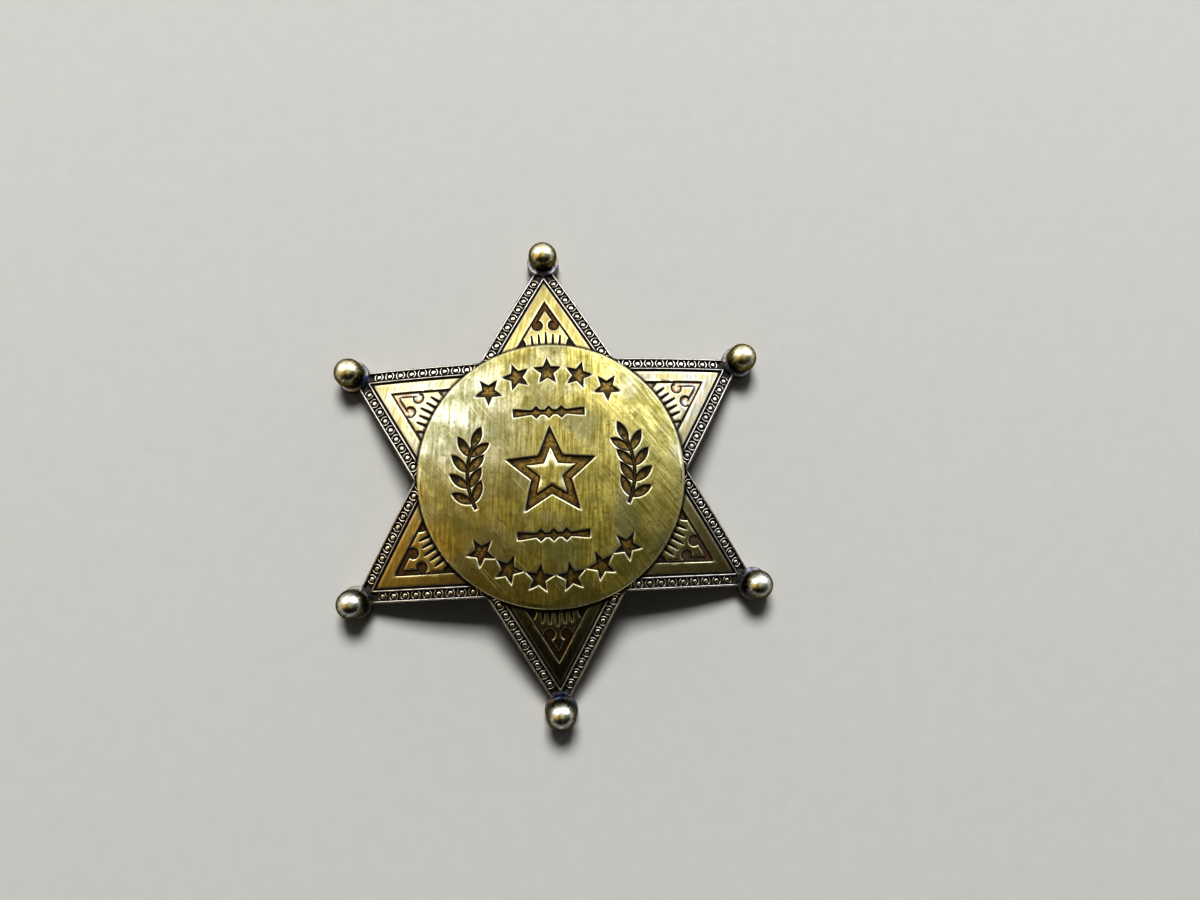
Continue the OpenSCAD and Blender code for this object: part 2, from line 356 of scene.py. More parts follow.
def ball_height(radius, p):
    """Height of a ball about the dome's centre, over the surface that the badge lies on."""
    return np.sqrt(np.maximum(radius ** 2 - (p ** 2).sum(1), 1)) - DOME_DROP


def uneven(p, size):
    """A slow, even unevenness between -1 and 1, as hand polishing leaves."""
    x, y = p[:, 0] / size, p[:, 1] / size
    return (np.sin(5.3 * x + 1.9 * y + 1) + np.sin(2.9 * x - 5.8 * y + 2.2) + np.sin(-3.8 * x - 3.4 * y + 4)) / 3


crown = np.zeros((1, 2))
print("the star's crown, in mm:", *(ball_height(r, crown)[0].round(2) for r in (BACK_R, DOME_R)))

# %% [markdown]
# ## The cast star
# On the real badge the star is cast and then chased: a raised edge, a channel that holds the beads and reels, a raised
# line, a groove, and a flat panel with a cut line, a chevron with two round lobes, five rays and two dark corners. The
# walls lean a little and their upper edges are rubbed round. A table gives the level at each distance from the outline.

# %% The border's levels
BORDER = np.array([
    (0.00, 0.0), (0.23, 0.0), (0.30, -0.07), (0.37, -0.39), (0.42, -0.45), (1.50, -0.45), (1.55, -0.39),
    (1.61, -0.07), (1.67, 0.0), (1.80, 0.0), (1.86, -0.07), (1.92, -0.29), (1.96, -0.35), (2.04, -0.35),
    (2.10, -0.29), (2.17, -0.17), (2.24, -0.15), (3.72, -0.15), (3.80, -0.19), (3.86, -0.36), (3.90, -0.40),
    (3.96, -0.40), (4.00, -0.36), (4.06, -0.19), (4.14, -0.15),
]).T
# How far down a cut's wall is, at each distance from its outline
WALL = np.array([(-0.15, 1.0), (-0.11, 0.94), (-0.04, 0.62), (0.03, 0.24), (0.1, 0.09), (0.2, 0.0)]).T
# How much the plate's outer edge is rounded down
ROUNDED = np.array([(0.0, 0.16), (0.04, 0.05), (0.1, 0.01), (0.15, 0.0)]).T
# Painted shadow on the star round the disc's edge, where the disc sits on it
SHADOW_BESIDE_DISC = np.array([(-0.1, 1.0), (0.28, 1.0), (0.45, 0.5), (0.7, 0.0)]).T
# How far inside the outline the panel, its cut line, the chevron and the field inside it start
PANEL_IN, LINE_IN, CHEVRON_IN, FIELD_IN = 2.1, 3.8, 4.05, 4.6
# The lobes reach a little over the chevron's outer edge
LOBE_R, LOBE_Y, LOBE_OVER = 0.85, DISC_R + 3.45, 0.0625
CORNER_R, CORNER_OUT = 2.45, 0.8
RAY_REACH, RAY_W, RAY_STEP = (2.3, 1.95, 1.85), (0.42, 0.14), 2.9


def across_at(inset, out):
    """How far beside the middle line the outline lies, moved inwards by inset, at a distance out."""
    return ((STAR_R - out) / 2 - inset) / COS30


def star_cuts():
    """The cuts in one half of a point, and the chevron that both halves share."""
    near, far = across_at(FIELD_IN, LOBE_Y), across_at(LINE_IN, LOBE_Y)
    chevron = np.array([
        (far, LOBE_Y), (0, STAR_R - 2 * LINE_IN), (-far, LOBE_Y), (-near, LOBE_Y), (0, STAR_R - 2 * FIELD_IN),
        (near, LOBE_Y),
    ])
    lobe = circle(across_at(CHEVRON_IN + LOBE_R - LOBE_OVER, LOBE_Y), LOBE_Y, LOBE_R, 28)
    a = math.radians(60) - math.acos((STAR_R - 2 * LINE_IN) / 2 / DISC_R)
    middle = (DISC_R * math.sin(a) + CORNER_OUT * COS30, DISC_R * math.cos(a) + CORNER_OUT / 2)
    corner = circle(*middle, CORNER_R, 40)
    deep = (STAR_R - corner[:, 1]) / 2 - corner[:, 0] * COS30 > LINE_IN
    start = int(np.argmax(deep & ~np.roll(deep, 1)))
    corner = np.roll(corner, -start, axis=0)[:deep.sum()]
    foot = DISC_R - 0.5
    rays = []
    for i in range(-2, 3):
        tip = DISC_R + RAY_REACH[abs(i)]
        ray = [(-RAY_W[0] / 2, foot), (RAY_W[0] / 2, foot), (RAY_W[1] / 2, tip), (-RAY_W[1] / 2, tip)]
        rays.append(turned(np.array(ray), -math.radians(RAY_STEP * i)))
    return [chevron, lobe, corner], rays


CUTS, RAYS = star_cuts()
print("cuts in one half point:", len(CUTS), "and", len(RAYS), "rays")


# %% The star's surface
def to_cut(p):
    """Distance to the nearest chevron, lobe, corner or ray, and to the nearest ray alone."""
    beside, out = in_point(p)
    folded = np.stack([np.abs(beside), out], axis=1)
    ray = gap_to_cuts(folded, RAYS)
    return np.minimum(gap_to_cuts(folded, CUTS), ray), ray


def solder_at(p):
    """How much solder lies at a place: all round a ball's foot, running out in lumps over the border."""
    lumps = uneven(p, 2.3) * 0.3 + uneven(p[:, ::-1], 0.9) * 0.15
    return np.clip((TAB_R + 0.4 + lumps - from_tab(p)) / 0.5, 0, 1)


def star_level(p):
    """Level against the dome, below nought in every hollow."""
    r, tab, edge = np.hypot(*p.T), from_tab(p), from_edge(p)
    level = np.interp(edge, *BORDER)
    level = np.minimum(level, -PANEL_DEPTH - (CUT_DEPTH - PANEL_DEPTH) * np.interp(to_cut(p)[0], *WALL))
    level = np.where(edge < PANEL_IN, np.interp(edge, *BORDER), level)
    level *= np.clip((tab - TAB_R) / 0.14, 0, 1) * np.clip((r - SEAT_R) / 0.1, 0, 1)
    solder = solder_at(p)
    lumps = 0.05 * uneven(p, 0.8) + 0.05 * uneven(p[:, ::-1], 1.7) - 0.06
    level = level * (1 - solder) + np.maximum(level, lumps) * solder
    level += 0.3 * np.exp(-((tab - 1.6) / 0.4) ** 2)
    return level - np.interp(np.maximum(edge, TAB_R - tab), *ROUNDED)


def star_top(p):
    return ball_height(DOME_R + star_level(p) + 0.012 * uneven(p, 9), p)


def star_back(p):
    return np.maximum(ball_height(BACK_R, p), 0)


def star_outline():
    """The rim of the plate: straight edges between notches, and a round tab at each tip."""
    back = STAR_R - TAB_AT
    t = back * COS30 + math.sqrt((back * COS30) ** 2 + TAB_R ** 2 - back ** 2)
    meet = math.atan2(t / 2, back - t * COS30)
    a = np.linspace(meet, -meet, 37)
    arc = np.stack([TAB_R * np.sin(a), TAB_AT + TAB_R * np.cos(a)], axis=1)
    notch = np.array([[-STAR_R / math.sqrt(12), STAR_R / 2]])
    return np.concatenate([turned(np.concatenate([arc, notch]), math.radians(60 * k)) for k in range(6)])


RIM = star_outline()
print("the plate's rim has", len(RIM), "corners")


# %% Drawing the star
def draw_star():
    drawing = Drawing()
    drawing.line(RIM, 0.7)

    def on_border(p):
        return (from_tab(p) > TAB_R - 0.2) & (np.hypot(*p.T) > SEAT_R - 0.4)

    for inset in sorted({*BORDER[0][1:], *ROUNDED[0][1:], 0.95, 2.6, 3.3, FIELD_IN}):
        tip = STAR_R - 2 * inset
        drawing.line(star(6, tip, tip / math.sqrt(3)), 1.1, keep=on_border)
    for k in range(6):
        turn = math.radians(60 * k)
        for reach in (*(TAB_R - ROUNDED[0][1:]), TAB_R, TAB_R + 0.14, TAB_R + 0.5, TAB_R + 0.9, 1.9, 1.6, 1.3):
            ring = turned(circle(0, TAB_AT, reach, 36), turn)
            drawing.line(ring, 9, keep=lambda p: (from_edge(p) > 0.02) | (from_tab(p) < TAB_R - 0.02))
        for side in (lambda ring: ring, mirrored):
            for ring in CUTS:
                for gap in (*WALL[0], 0.32):
                    drawing.line(turned(side(grown(ring, gap)), turn), 0.9, keep=on_border)
        for ray in RAYS:
            for gap in (-0.06, 0.03, 0.1, 0.2):
                drawing.line(turned(grown(ray, gap), turn), 0.7, keep=on_border)
    for reach in (SEAT_R, SEAT_R + 0.1, SEAT_R - 0.4, *(DISC_R + SHADOW_BESIDE_DISC[0])):
        drawing.line(circle(0, 0, reach, 160), 9)
    grid = dot_grid(STAR_R, 0.95)
    edge, seat = from_edge(grid), np.hypot(*grid.T) - SEAT_R
    open_field = (np.abs(edge[:, None] - BORDER[0]).min(1) > 0.25) & (np.abs(to_cut(grid)[0]) > 0.3)
    drawing.dots(grid[(edge > 0.4) & ((open_field & (seat > 0.4)) | (seat < -0.6))])
    return drawing


def on_plate(p):
    return np.maximum(from_edge(p), TAB_R - from_tab(p)) > 0


star_points, star_faces = flat_sheet(draw_star(), on_plate)
cast_star = lifted_sheet("cast_star", star_points, star_faces, star_top, star_back)

# %% [markdown]
# ### Where the star is rubbed bright, and where dirt and painted shade darken it
# Handling polishes what stands up and leaves dirt at the foot of each wall, and the same dark there, in the channel,
# in the rays and round the disc is painted shade as well. The drawing already knows these places, so they are kept with
# the points as plain values between 0 and 1. Ambient occlusion could find the shade too, but it costs time in every
# render and can't tell a panel from a border.

# %% How rubbed, and how dark with dirt and painted shade, each distance is
RUBBED = np.array([
    (0.0, 0.1), (0.1, 0.7), (0.23, 1.0), (0.3, 0.1), (0.4, 0.0), (1.5, 0.0), (1.61, 0.2), (1.67, 1.0), (1.8, 1.0),
    (1.88, 0.0), (2.12, 0.0), (2.22, 0.7), (2.6, 0.0), (3.3, 0.0), (3.72, 0.6), (3.8, 0.1), (4.06, 0.1), (4.14, 0.6),
    (FIELD_IN, 0.0),
]).T
# Dirt and painted shade at the feet of walls, in the channel and in the groove
DIRT_AND_SHADE = np.array([
    (0.0, 0.0), (0.25, 0.0), (0.37, 1.0), (0.5, 0.9), (0.95, 0.6), (1.4, 0.9), (1.55, 1.0), (1.66, 0.1), (1.8, 0.1),
    (1.9, 1.0), (2.1, 1.0), (2.2, 0.1), (2.6, 0.0), (3.7, 0.0), (3.82, 0.8), (3.9, 1.0), (4.0, 0.8), (4.14, 0.0),
]).T
# Beside a cut's outline the panel is rubbed, and the foot of its wall is dark with dirt and painted shade
CUT_RUBBED = np.array([(0.0, 0.0), (0.05, 0.9), (0.17, 0.7), (0.3, 0.0)]).T
CUT_DIRT_AND_SHADE = np.array([(-0.32, 0.1), (-0.15, 0.95), (-0.04, 1.0), (0.03, 0.45), (0.08, 0.0), (0.17, 0.0)]).T
# How yellow a point's panel is, and how pale the floors of its cuts: clockwise from the top point
YELLOW = np.array([1.0, 0.15, 0.55, 0.0, 0.6, 0.3])
PALE = np.array([0.0, 0.9, 0.15, 0.0, 0.05, 0.95])
print("distances in the wear tables:", *(len(table[0]) for table in (RUBBED, DIRT_AND_SHADE, CUT_RUBBED, CUT_DIRT_AND_SHADE)))

# %% Wear, dirt and painted shade on the star
edge = from_edge(star_points)
cut, ray = to_cut(star_points)
open_side = edge > PANEL_IN
solder = solder_at(star_points)
rubbed = np.maximum(np.interp(edge, *RUBBED), np.interp(cut, *CUT_RUBBED) * open_side)
rubbed *= np.where(open_side, np.clip(cut / 0.06 + 0.3, 0, 1), 1)
dirt_and_shade = np.maximum(np.interp(edge, *DIRT_AND_SHADE), np.interp(cut, *CUT_DIRT_AND_SHADE) * open_side)
# Painted shadow round the disc's edge, carried in the dirt and shade mask
shadow_beside_disc = np.interp(np.hypot(*star_points.T) - DISC_R, *SHADOW_BESIDE_DISC)
# Painted shade inside the rays goes into the same mask as the dirt
dirt_and_shade = np.maximum(dirt_and_shade, np.maximum(shadow_beside_disc, np.interp(ray, [0.04, 0.11], [1, 0])))
which = np.round(np.arctan2(*star_points.T) / (math.pi / 3)).astype(int) % 6
sunk = np.clip(-star_level(star_points) / CHANNEL_DEPTH, 0, 1)
note(cast_star, "yellow", YELLOW[which])
note(cast_star, "pale", PALE[which])
tab_rim = np.interp(TAB_R - from_tab(star_points), [0.03, 0.12, 0.26, 0.4], [0, 1, 1, 0]) * (edge < 0.3)
note(cast_star, "rubbed", np.maximum(rubbed * (1 - solder) * (1 - shadow_beside_disc), 0.5 * tab_rim))
note(cast_star, "dirt_and_shade", dirt_and_shade * (1 - solder))
note(cast_star, "sunk", np.where(open_side, np.interp(cut, [-0.1, 0.03], [1, 0]), sunk) * (1 - solder))
note(cast_star, "border", np.interp(edge, [PANEL_IN, PANEL_IN + 0.1], [1, 0]))
note(cast_star, "solder", np.maximum(solder, np.interp(from_tab(star_points), [1.9, 2.5], [1, 0])))
print("rubbed places:", int((rubbed > 0.5).sum()), "dirty places:", int((dirt_and_shade > 0.5).sum()))

# %% [markdown]
# ## The engraved disc
# The disc is a separate, thicker piece with a rounded rim, brushed and then engraved. Its engraving is a large hollow
# star between two laurel sprigs, two dividers with three diamonds each, and two arcs of small stars. It is drawn and
# lifted in the same way as the star, which keeps the two alike.


# %% A laurel sprig
LAUREL_X, LAUREL_BEND = 12.2, 11.0
LEAF_L, LEAF_W, STEM_W = 3.5, 1.35, 0.5
# The stem's two ends and its lowest leaves, in degrees round its bend, and how far the leaves lean
STEM_FROM, STEM_TO, FIRST_LEAVES, LEAN = -26, 24, 5, 42


def leaf_outline():
    """A leaf between two arcs, with its foot at nought and its tip above."""
    r = (LEAF_L ** 2 + LEAF_W ** 2) / (4 * LEAF_W)
    half = math.asin(LEAF_L / 2 / r)
    a = np.linspace(-half, half, 11)
    side = np.stack([r * np.cos(a) - (r - LEAF_W / 2), LEAF_L / 2 + r * np.sin(a)], axis=1)
    return np.concatenate([side, mirrored(side)[-2:0:-1]])


def laurel_sprig():
    """Four pairs of leaves and a last one, along a stem that bends round the disc's middle."""
    leaf = leaf_outline()
    step = (STEM_TO - STEM_FROM - FIRST_LEAVES + 3) / 4
    out = []
    for i in range(4):
        for lean in (-LEAN, LEAN):
            beside = turned(leaf, math.radians(lean)) + (LAUREL_BEND, 0)
            out.append(turned(beside, math.radians(STEM_FROM + FIRST_LEAVES + step * i)))
    out.append(turned(leaf + (LAUREL_BEND, -STEM_W), math.radians(STEM_TO)))
    a = np.radians(np.linspace(STEM_FROM, STEM_TO, 24))
    ways = np.stack([np.cos(a), np.sin(a)], axis=1)
    out.append(np.concatenate([ways * (LAUREL_BEND + STEM_W / 2), ways[::-1] * (LAUREL_BEND - STEM_W / 2)]))
    return [ring + (LAUREL_X - LAUREL_BEND, 0) for ring in out]


SPRIG = laurel_sprig()
print("a sprig has", len(SPRIG) - 1, "leaves and a stem")

# %% Dividers, small stars and the emblem
DIVIDER_Y, DIVIDER_L, DIAMOND = 9, 10.5, 1.85
BAR_END, BAR_MIDDLE = 1.2, 0.6
MARK_COUNTS, MARK_STEP, MARK_IN, MARK_R = (5, 6), 17.5, 4.45, 2.15
EMBLEM_R, EMBLEM_W = 6.9, 1.2
# How far out the corners between a star's tips lie, as a share of its tips
MARK_SHARE, EMBLEM_SHARE = 0.42, 0.45


def divider(y):
    """A bar that narrows towards three diamonds."""
    end, side = DIVIDER_L / 2, 1.5 * DIAMOND
    right = [(0, -BAR_MIDDLE / 2), (side, -BAR_MIDDLE / 2), (end, -BAR_END / 2)]
    right += [(x, -y) for x, y in reversed(right)]
    bar = np.array(right + [(-x, y) for x, y in reversed(right[1:-1])])
    diamonds = [star(2, DIAMOND / 2, DIAMOND / 2, DIAMOND * i) for i in (-1, 0, 1)]
    return [ring + (0, y) for ring in (bar, *diamonds)]


def small_stars():
    """Five above and six below, in arcs inside the rim."""
    out = []
    for row, count in enumerate(MARK_COUNTS):
        for i in range(count):
            a = math.radians(180 * row + MARK_STEP * (i - (count - 1) / 2))
            place = turned(np.array([[0, DISC_R - MARK_IN]]), a)
            turn = math.degrees(a) + 180 * row
            out.append(star(5, MARK_R, MARK_SHARE * MARK_R, *place[0], turn))
    return out


fifth = math.radians(36)
tip_half = math.atan(EMBLEM_SHARE * math.sin(fifth) / (1 - EMBLEM_SHARE * math.cos(fifth)))
inner_tip = EMBLEM_R - EMBLEM_W / math.sin(tip_half)
EMBLEM = star(5, EMBLEM_R, EMBLEM_SHARE * EMBLEM_R)
EMBLEM_FIELD = star(5, inner_tip, EMBLEM_SHARE * inner_tip)
ENGRAVED = [*small_stars(), *divider(DIVIDER_Y), *divider(-DIVIDER_Y), *SPRIG, *map(mirrored, SPRIG)]
print("outlines in the engraving:", len(ENGRAVED) + 2)


# %% The disc's surface
def to_engraving(p):
    emblem = np.maximum(gap_to_cuts(p, [EMBLEM]), -gap_to_cuts(p, [EMBLEM_FIELD]))
    return np.minimum(emblem, gap_to_cuts(p, ENGRAVED))


def disc_top(p):
    r = np.minimum(np.hypot(*p.T), DISC_R)
    engraved = ENGRAVE_DEPTH * np.interp(to_engraving(p), *WALL)
    top = ball_height(DISC_TOP - engraved + 0.016 * uneven(p, 8), p)
    shoulder = DISC_R - RIM_ROUND
    shoulder_z = math.sqrt(DISC_TOP ** 2 - shoulder ** 2) - DOME_DROP
    over = np.clip(r - shoulder, 0, RIM_ROUND)
    rounded = shoulder_z - RIM_ROUND + np.sqrt(RIM_ROUND ** 2 - over ** 2)
    return np.where(r > shoulder, np.minimum(top, rounded), top)


def disc_back(p):
    return ball_height(DISC_FOOT, p)


print("the disc's crown, in mm:", disc_back(crown)[0].round(2), "to", ball_height(DISC_TOP, crown)[0].round(2))


# %% Drawing the disc
def draw_disc():
    drawing = Drawing()
    for back in (0, 0.005, 0.02, 0.05, 0.1, 0.17, 0.27, 0.4, RIM_ROUND, 0.75, 1.1):
        drawing.line(circle(0, 0, DISC_R - back, 192), 9)
    for ring in (*ENGRAVED, EMBLEM, EMBLEM_FIELD):
        for gap in (*WALL[0], 0.32):
            drawing.line(grown(ring, gap), 0.8)
    grid = dot_grid(DISC_R, 0.8)
    drawing.dots(grid[(np.hypot(*grid.T) < DISC_R - 1.4) & (np.abs(to_engraving(grid)) > 0.3)])
    return drawing


disc_points, disc_faces = flat_sheet(draw_disc(), lambda p: np.hypot(*p.T) < DISC_R)
engraved_disc = lifted_sheet("engraved_disc", disc_points, disc_faces, disc_top, disc_back)
gap = to_engraving(disc_points)
rim_in = DISC_R - np.hypot(*disc_points.T)
rim_rubbed = np.interp(rim_in, [0.1, 0.27, 0.55], [0, 0.35, 0])
note(engraved_disc, "rubbed", np.maximum(0.8 * np.interp(gap, *CUT_RUBBED), rim_rubbed))
# Dirt and painted shade at the foot of the engraving's walls
note(engraved_disc, "dirt_and_shade", np.interp(gap, *CUT_DIRT_AND_SHADE))
note(engraved_disc, "sunk", np.interp(gap, [-0.1, 0.03], [1, 0]))

# %% [markdown]
# ## Beads and reels
# The channel round the star holds a string of round beads, each between two thin reels that bend round it. They repeat
# more than a hundred times, so Geometry Nodes place them: each straight run is one edge, which is made a curve, cut
# into even steps and dropped onto the channel's domed floor. One bead with its two reels then stands on each step.


# %% Adding nodes to a tree, and the sizes of beads and reels
def put(tree, kind, inputs=None, **settings):
    """Adds a node, with settings and with inputs that are values or other nodes' outputs."""
    made = tree.nodes.new(kind)
    for name, value in settings.items():
        setattr(made, name, value)
    for name, value in (inputs or {}).items():
        if isinstance(value, bpy.types.NodeSocket):
            tree.links.new(value, made.inputs[name])
        else:
            made.inputs[name].default_value = value
    return made


def calc(tree, operation, a, b=0.0):
    """One step of arithmetic; gives the output."""
    return put(tree, "ShaderNodeMath", {0: a, 1: b}, operation=operation).outputs[0]


def at(tree, x=0.0, y=0.0, z=0.0):
    """A place or a size made of three numbers."""
    return put(tree, "ShaderNodeCombineXYZ", {"X": x, "Y": y, "Z": z}).outputs[0]


BEADS_IN_RUN, BEAD_PITCH = 10, 1.7
REEL_R, REEL_W = 0.66, 1.04
BEAD_SIZES = {
    "Steps": BEADS_IN_RUN, "Bead Radius": 0.4 * MM, "Reel Radius": REEL_R * MM, "Reel Thickness": 0.17 * MM,
    "Reel Height": 0.42 * MM, "Worn Height": 0.29 * MM, "Floor Radius": (DOME_R - CHANNEL_DEPTH) * MM,
    "Dome Drop": DOME_DROP * MM,
}
REEL_HALF = math.asin(REEL_W / 2 / REEL_R)
print("a reel bends through", round(math.degrees(2 * REEL_HALF)), "degrees")


# %% One bead and its two reels
def bead_and_reels(tree, given, place):
    """A round bead between two reels that bend round it, all worn flat on top."""
    bead = put(tree, "GeometryNodeMeshUVSphere", {
        "Segments": 14, "Rings": 9, "Radius": given["Bead Radius"],
    }).outputs[0]
    arc = put(tree, "GeometryNodeCurveArc", {
        "Resolution": 7, "Radius": given["Reel Radius"], "Start Angle": -REEL_HALF, "Sweep Angle": 2 * REEL_HALF,
    }, mode="RADIUS").outputs[0]
    half_reel = calc(tree, "MULTIPLY", given["Reel Thickness"], 0.5)
    section = put(tree, "GeometryNodeCurvePrimitiveCircle", {"Resolution": 8, "Radius": half_reel}).outputs[0]
    reel = put(tree, "GeometryNodeCurveToMesh", {
        "Curve": arc, "Profile Curve": section, "Fill Caps": True,
    }).outputs[0]
    tall = calc(tree, "DIVIDE", given["Reel Height"], given["Reel Thickness"])
    reel = put(tree, "GeometryNodeTransform", {
        "Geometry": reel,
        "Scale": at(tree, 1.0, 1.0, tall),
        "Translation": at(tree, z=calc(tree, "MULTIPLY", given["Reel Height"], 0.5)),
    }).outputs[0]
    other = put(tree, "GeometryNodeTransform", {"Geometry": reel, "Rotation": (0, 0, math.pi)}).outputs[0]
    motif = put(tree, "GeometryNodeJoinGeometry")
    for part in (bead, reel, other):
        tree.links.new(part, motif.inputs[0])
    spot = put(tree, "ShaderNodeSeparateXYZ", {0: place}).outputs
    top = calc(tree, "MINIMUM", spot[2], given["Worn Height"])
    return put(tree, "GeometryNodeSetPosition", {
        "Geometry": motif.outputs[0], "Position": at(tree, spot[0], spot[1], top),
    }).outputs[0]


print("from the first bead of a run to its last:", round((BEADS_IN_RUN - 1) * BEAD_PITCH, 1), "mm")


# %% A tree for a run of beads and reels
def bead_tree(finish):
    """Builds the tree, and gives it with its named inputs' identifiers."""
    tree = bpy.data.node_groups.new("beads_and_reels", "GeometryNodeTree")
    tree.interface.new_socket("Geometry", in_out="INPUT", socket_type="NodeSocketGeometry")
    tree.interface.new_socket("Geometry", in_out="OUTPUT", socket_type="NodeSocketGeometry")
    names = {}
    for name, value in BEAD_SIZES.items():
        kind = "NodeSocketInt" if isinstance(value, int) else "NodeSocketFloat"
        names[name] = tree.interface.new_socket(name, in_out="INPUT", socket_type=kind).identifier
    given = put(tree, "NodeGroupInput").outputs
    runs = put(tree, "GeometryNodeMeshToCurve", {"Mesh": given["Geometry"]}).outputs[0]
    even = put(tree, "GeometryNodeResampleCurve", {"Curve": runs, "Count": given["Steps"]}).outputs[0]
    steps = put(tree, "GeometryNodeCurveToPoints", {"Curve": even}, mode="EVALUATED")
    # Drop each step onto the domed floor of the channel
    place = put(tree, "GeometryNodeInputPosition").outputs[0]
    flat = put(tree, "ShaderNodeVectorMath", {0: place, 1: (1, 1, 0)}, operation="MULTIPLY").outputs[0]
    out = put(tree, "ShaderNodeVectorMath", {0: flat, 1: flat}, operation="DOT_PRODUCT").outputs["Value"]
    high = calc(tree, "SQRT", calc(tree, "SUBTRACT", calc(tree, "POWER", given["Floor Radius"], 2.0), out))
    drop = calc(tree, "SUBTRACT", high, given["Dome Drop"])
    lifted = put(tree, "ShaderNodeVectorMath", {0: flat, 1: at(tree, z=drop)}, operation="ADD").outputs[0]
    set_down = put(tree, "GeometryNodeSetPosition", {
        "Geometry": steps.outputs["Points"], "Position": lifted,
    }).outputs[0]
    # Each stands square to the dome and follows its run
    down = at(tree, z=given["Dome Drop"])
    upright = put(tree, "ShaderNodeVectorMath", {0: place, 1: down}, operation="ADD").outputs[0]
    facing = put(tree, "FunctionNodeAxesToRotation", {
        "Primary Axis": upright, "Secondary Axis": steps.outputs["Tangent"],
    }, primary_axis="Z", secondary_axis="X").outputs[0]
    stood = put(tree, "GeometryNodeInstanceOnPoints", {
        "Points": set_down, "Instance": bead_and_reels(tree, given, place), "Rotation": facing,
    }).outputs[0]
    real = put(tree, "GeometryNodeRealizeInstances", {"Geometry": stood}).outputs[0]
    smooth = put(tree, "GeometryNodeSetShadeSmooth", {"Geometry": real}).outputs[0]
    painted = put(tree, "GeometryNodeSetMaterial", {"Geometry": smooth, "Material": finish}).outputs[0]
    put(tree, "NodeGroupOutput", {"Geometry": painted})
    return tree, names


print("named inputs of the tree:", ", ".join(BEAD_SIZES))


# %% The twelve runs, made into one plain mesh
def bead_runs():
    """Both ends of each run, in millimetres: the first and last bead between a notch and a tip."""
    tip = STAR_R - 2 * (EDGE_W + CHANNEL_W / 2)
    notch, way = np.array([tip / math.sqrt(12), tip / 2]), np.array([-0.5, COS30])
    first = 0.45 * BEAD_PITCH
    last = first + (BEADS_IN_RUN - 1) * BEAD_PITCH
    run = np.array([notch + first * way, notch + last * way])
    return [turned(side, math.radians(60 * k)) for k in range(6) for side in (run, mirrored(run))]


def made_plain(piece, name):
    """The result of a piece's modifiers as a plain mesh, without the modifiers."""
    shown = piece.evaluated_get(bpy.context.evaluated_depsgraph_get())
    mesh = bpy.data.meshes.new_from_object(shown)
    mesh.name = name
    piece.modifiers.clear()
    piece.data = mesh
    print(name, "has", len(mesh.vertices), "points and", triangles_of(mesh), "triangles")
    return piece


def string_of_beads(finish):
    ends = np.concatenate(bead_runs())
    mesh = bpy.data.meshes.new("bead_runs")
    places = np.column_stack([ends, np.zeros(len(ends))]) * MM
    mesh.from_pydata(places.tolist(), [(2 * i, 2 * i + 1) for i in range(len(ends) // 2)], [])
    piece = bpy.data.objects.new("bead_and_reel", mesh)
    bpy.context.scene.collection.objects.link(piece)
    tree, names = bead_tree(finish)
    layout = piece.modifiers.new("beads", "NODES")
    layout.node_group = tree
    for name, value in BEAD_SIZES.items():
        layout[names[name]] = value
    return made_plain(piece, "bead_and_reel")


print("runs of beads:", len(bead_runs()))

# %% [markdown]
# ## The ball tips
# Each ball is a turned brass ball, soldered to its round tab, with a rough collar of solder round its foot. A plain
# sphere would look like a pin head, so the ball is lathed in code with its collar in one skin, and the collar's lumps
# are pushed out by a slow unevenness.


# %% Lathed balls with their solder
def lathed(profile, around):
    """Rings of points for a profile of (radius, height), closed at both ends, with their faces."""
    a = np.arange(around) * 2 * math.pi / around
    rings = [np.column_stack([r * np.cos(a), r * np.sin(a), np.full(around, h)]) for r, h in profile[1:-1]]
    verts = np.concatenate([[(0, 0, profile[0][1])], *rings, [(0, 0, profile[-1][1])]])
    last = len(verts) - 1
    step = [(i, (i + 1) % around) for i in range(around)]
    faces = [(0, 1 + i, 1 + j) for i, j in step]
    for k in range(len(rings) - 1):
        low = 1 + k * around
        faces += [(low + i, low + around + i, low + around + j, low + j) for i, j in step]
    low = 1 + (len(rings) - 1) * around
    faces += [(low + i, last, low + j) for i, j in step]
    return verts, faces


# How far down its side a ball is free, in degrees from its top
BALL_FREE = 128
# The collar of solder round its foot, and how high up the solder is lumpy
COLLAR = ((1.82, 0.06), (1.98, -0.02), (2.12, -0.1), (1.9, -0.3))
LUMPY_H = 0.3


def ball_profile():
    """Radii and heights from the top of the ball down to its foot, then out over the collar of solder."""
    a = np.radians(np.linspace(0, BALL_FREE, 27))
    ball = [(BALL_R * math.sin(t), BALL_RISE + BALL_R * math.cos(t)) for t in a]
    return [*ball, *COLLAR, (0, COLLAR[-1][1])]


